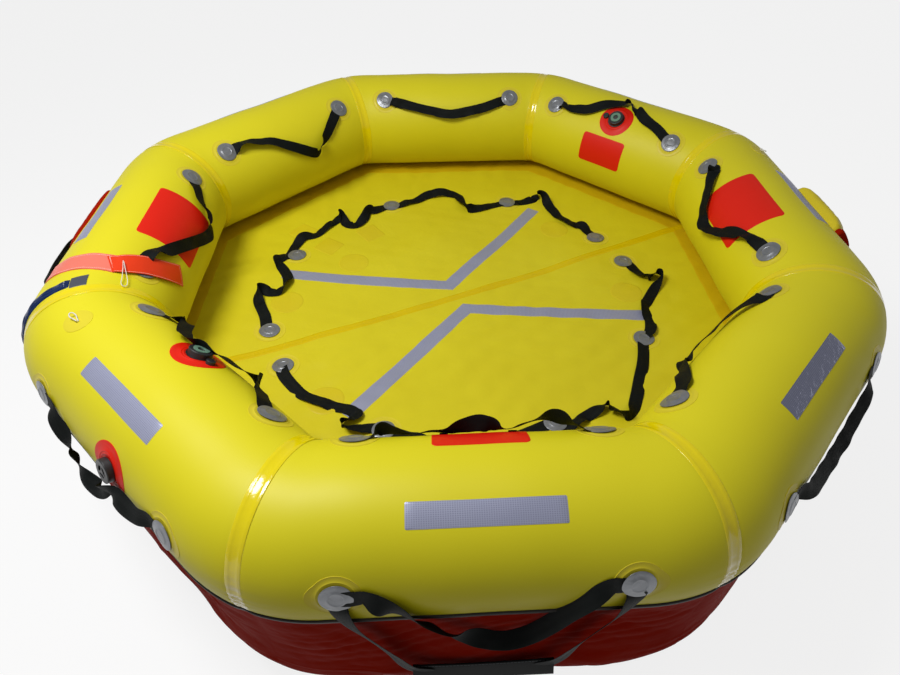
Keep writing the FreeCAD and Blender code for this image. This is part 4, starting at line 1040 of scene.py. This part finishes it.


# Knife pocket and tag ----------------------------------------------------------------------------------------
# A flat pocket of pink translucent cloth lies over the left side, with a stitched window. A stiff red-orange tag
# is stitched to its end and lies over the anchor disc.


def stitched(name, cloth, deep, thread, length, width, inset, corner, roughness):
    """Cloth with a line of stitches that follows its edge, drawn from the piece's own flat places."""
    material = coated_fabric(name, cloth, deep, roughness, crease=0.25, crease_size=30.0, grain=0.6)
    tree = material.node_tree
    shader = tree.nodes["Principled BSDF"]
    plain = shader.inputs["Base Color"].links[0].from_node
    axes = flat_axes(tree)
    beyond = add(tree, "CombineXYZ")
    for index, size in enumerate((length, width)):
        past = reckon(tree, "SUBTRACT", reckon(tree, "ABSOLUTE", axes[index]), size / 2 - inset - corner)
        join(tree, beyond, {index: reckon(tree, "MAXIMUM", past, 0.0)})
    reach = add(tree, "VectorMath", {0: beyond}, operation="LENGTH")
    on_line = reckon(tree, "COMPARE", reach.outputs["Value"], corner, 0.0005)
    beat = reckon(tree, "PINGPONG", reckon(tree, "SUBTRACT", *axes), 0.0025)
    share = reckon(tree, "MULTIPLY", on_line, reckon(tree, "GREATER_THAN", beat, 0.0005))
    join(tree, shader, {"Base Color": mixed(tree, share, plain, thread)})
    return material


pocket_start, pocket_end, pocket_width, pocket_along = 50, 114, 0.070, 0.280
pocket_middle = (pocket_start + pocket_end) / 2
pocket_length = math.radians(pocket_end - pocket_start) * upper_radius
pocket_cloth = stitched("pink_pocket_cloth", (0.84, 0.20, 0.14), (0.78, 0.16, 0.11), (0.92, 0.72, 0.66),
                        0.066, pocket_length * 0.96, 0.004, 0.010, 0.4)
pocket_place = tube_spot("left", pocket_along, pocket_middle)
pocket = plate(lambda x, y, height: pocket_place(x, y, height * (1 + 0.25 * np.sin(y * 90 + x * 30))),
               *rounded(pocket_width, pocket_length, 0.002, rows=22, columns=260), 0.0024)
make_piece("knife_pocket", [pocket], pocket_cloth, ["knife_pocket"])

tag_keys = ((287, 107.5, 3.4), (283, 110, 3.6), (276, 117, 8.0), (254, 129, 9.6), (232, 141, 8.4), (206, 153, 6.2),
            (180, 164, 5.0))
tag_path = smooth_through(tag_keys)
tag_width = 0.066
along, around, lift = tag_path[:, :1] / 1000, tag_path[:, 1:2], tag_path[:, 2:] / 1000
heading = unit(np.stack([np.gradient(along[:, 0]), np.gradient(np.radians(around[:, 0])) * upper_radius], axis=-1))
tag_across = np.array([-1, -1, -0.985, -0.9, -0.6, -0.3, 0, 0.3, 0.6, 0.9, 0.985, 1, 1])
tag_across = np.concatenate([tag_across, tag_across[-2:0:-1]]) * tag_width / 2
tag_rise = np.concatenate([[0, 0.8, 1], np.ones(7), [1, 0.8, 0], [-0.8], -np.ones(9), [-0.8]]) * 0.0006
tag_x = along - heading[:, 1:] * tag_across
tag_y = around + np.degrees(heading[:, :1] * tag_across / upper_radius)
curl = 0.0012 * np.sin(tag_x * 60) * (tag_across / tag_width * 2) ** 2
tag_points = on_tube("left", tag_x, tag_y, lift + tag_rise + curl)
run = run_along(tag_points[:, 6])[:, None]
tag_flat = np.stack(np.broadcast_arrays(run - run[-1] / 2, tag_across), axis=-1)
tag_points, tag_flat, tag_closed = closed_ends(tag_points, tag_flat, tag_points[[0, -1]].mean(axis=1))
tag_cloth = stitched("red_tag_cloth", (0.80, 0.045, 0.006), (0.72, 0.034, 0.004), (0.95, 0.55, 0.45),
                     float(run[-1, 0]) - 0.004, tag_width, 0.003, 0.001, 0.4)
make_piece("knife_tag", [(tag_points[::-1], tag_flat[::-1], tag_closed)], tag_cloth, ["knife_tag"])


# Mooring line sleeve -----------------------------------------------------------------------------------------
# A navy fabric sleeve comes up over the tube beside the left corner's seam and gathers into tight folds, and its
# end is held by a dark grey patch.

navy_cloth = coated_fabric("navy_sleeve_cloth", (0.006, 0.022, 0.095), (0.004, 0.014, 0.060), 0.28, crease=0.5,
                           crease_size=45.0)
grey_cloth = coated_fabric("grey_end_patch", (0.070, 0.078, 0.10), (0.050, 0.056, 0.075), 0.5)


def beside_seam(start, end, width, offset, profile):
    """A band round the left side's tube that keeps its distance from the corner seam's plane.

    profile(around, across) gives its height over the tube, with across from -1 to 1.
    """
    around, across = crossed(np.linspace(start, end, 181), np.linspace(-1, 1, 33))
    along = by_seam(offset - across * width / 2, around)
    flat = np.stack([across * width / 2, np.radians(around) * upper_radius], axis=-1)
    return on_tube("left", along, around, profile(around, across))[::-1], flat[::-1], False


def gathered(around, across):
    """A full soft sleeve: crowned, with folds along it, and pinched to a neck near its upper end."""
    ends = np.clip((around + 12) / 2, 0, 1) * np.clip((84 - around) / 3, 0, 1)
    neck = 1 - 0.45 * np.exp(-(((around - 72) / 6) ** 2))
    deeper = 0.5 + 0.5 * np.sin(np.radians(around) * 23)
    folds = 0.0016 * np.sin(across * 11 + 2.2 * np.sin(np.radians(around) * 9)) * deeper
    crown = np.sqrt(np.clip(1 - across**2, 0, 1))
    return (0.0068 * neck + folds) * crown * ends + 0.0004 * ends - 0.0004


sleeve = beside_seam(-12, 84, 0.034, 0.040, gathered)
make_piece("mooring_line_sleeve", [sleeve], navy_cloth, ["mooring_line_sleeve"])
end_patch = beside_seam(84.3, 97, 0.044, 0.040,
                        lambda around, across: 0.0012 * np.clip((1 - np.abs(across)) / 0.02, 0, 1) - 0.0002)
make_piece("mooring_line_patch", [end_patch], grey_cloth, ["mooring_line_patch"])


# Pouches -----------------------------------------------------------------------------------------------------
# A full yellow pouch with an orange end on the right side's outside, and a flat orange line pouch with round
# ends on the left side's outside.


def puffed(place, length, width, thickness, corner, fullness, seed):
    """A closed soft pouch on a surface: crowned, with rounded edges and a few shallow creases."""
    ring_x, ring_y = rounded(length, width, corner, rows=30, columns=180)
    share = np.linspace(0, 1, 30)[:, None]
    crown = thickness * (1 - share**fullness) ** 0.5
    crown = crown * (1 - 0.10 * (ring_x / length * 2) ** 2)
    crease = 0.05 * thickness * waves(ring_x, ring_y, seed, 6, 0.03, 0.09) * (1 - share**4)
    return laid(place, ring_x, ring_y, np.maximum(crown - np.abs(crease), -0.0005))


pouch_cloth = coated_fabric("yellow_pouch_cloth", (0.76, 0.62, 0.02), (0.70, 0.54, 0.015), 0.45, crease=0.4,
                            crease_size=24.0)
pouch = puffed(tube_spot("right", -0.038, 35), 0.250, 0.100, 0.034, 0.014, 5, 41)
make_piece("stowage_pouch", [pouch], pouch_cloth, ["stowage_pouch"])
flap = puffed(tube_spot("right", -0.166, 35), 0.026, 0.084, 0.022, 0.008, 6, 43)
line_pouch = puffed(tube_spot("left", -0.050, 35), 0.300, 0.080, 0.011, 0.022, 7, 45)
# The flap and the line pouch take the orange fabric, whose colour is darkened with painted shade.
make_piece("orange_pouches", [flap, line_pouch], orange_fabric_painted_shade, ["stowage_pouch_flap"])


# Cords -------------------------------------------------------------------------------------------------------
# Small white polyester cords: a tie loop at two places on the upper tube, each through a welded patch, and the
# loop that ties the knife's tag.

loop_patch_radii = [0, 0.010, 0.026, 0.0345, 0.0356, 0.036]
loop_patch_heights = [0.0010, 0.0010, 0.0010, 0.0010, 0.0008, -0.0005]
white_cord = mottled("white_cord", 900.0, 2.0, (0.62, 0.60, 0.54), (0.86, 0.85, 0.80), 0.6, 0.0004,
                     {"Roughness": 0.7})


def plain_tube_place(side, along, around, height):
    """A place over the straight tube, along a side, around it and above its skin."""
    out = apothem + (upper_radius + height) * math.cos(math.radians(around))
    up = upper_height + (upper_radius + height) * math.sin(math.radians(around))
    return (*turned(out, along, side_turn[side]), up)


def laid_cord(name, route, radius):
    """A round cord on a smooth line that the route's points steer."""
    curve = bpy.data.curves.new(name, "CURVE")
    curve.dimensions = "3D"
    curve.bevel_depth = radius
    curve.bevel_resolution = 4
    curve.resolution_u = 12
    curve.use_fill_caps = True
    spline = curve.splines.new("NURBS")
    spline.points.add(len(route) - 1)
    for point, spot in zip(spline.points, route):
        point.co = (*spot, 1)
    spline.order_u = 3
    spline.use_endpoint_u = True
    curve.materials.append(white_cord)
    piece = bpy.data.objects.new(name, curve)
    scene.collection.objects.link(piece)
    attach(piece, "raft")
    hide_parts(name)
    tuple(route[0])


loop_radius, tie_radius = 0.0015, 0.0010
loop_route = ((8, 0, 2.65), (-2, 2, 2.65), (-13, 6, 5.65), (-22, 4, 10.65), (-24, -3, 11.65), (-16, -8, 8.65),
              (-4, -4, 6.15), (8, -3, 5.65))
loop_patch_grids = []
for side, loop_along, loop_around in (("front_left", -0.294, 80), ("right", 0.300, 67)):
    spot = tube_spot(side, loop_along, loop_around)
    loop_patch_grids.append(turned_round(spot, loop_patch_radii, loop_patch_heights))
    route = []
    for x, y, height in loop_route:
        place_around = loop_around + math.degrees(y / 1000 / upper_radius)
        route.append(plain_tube_place(side, loop_along + x / 1000, place_around, height / 1000))
    laid_cord("tie_loop_" + side, route, loop_radius)
make_piece("tie_loop_patches", loop_patch_grids, patch_fabric, ["tie_loop_patches"], sharp=40)

tie_route = ((270, 116, 10.73), (282, 117, 10.73), (300, 118.5, 12.73), (318, 120, 9), (336, 121.5, 7.5),
             (352, 122, 7), (362, 124.5, 7.5), (354, 127, 7), (338, 126, 7.5), (320, 123.5, 9),
             (304, 120.5, 14.73), (288, 118.5, 13.73), (276, 117, 13.13))
route = [plain_tube_place("left", x / 1000, around, height / 1000) for x, around, height in tie_route]
laid_cord("knife_tie_cord", route, tie_radius)
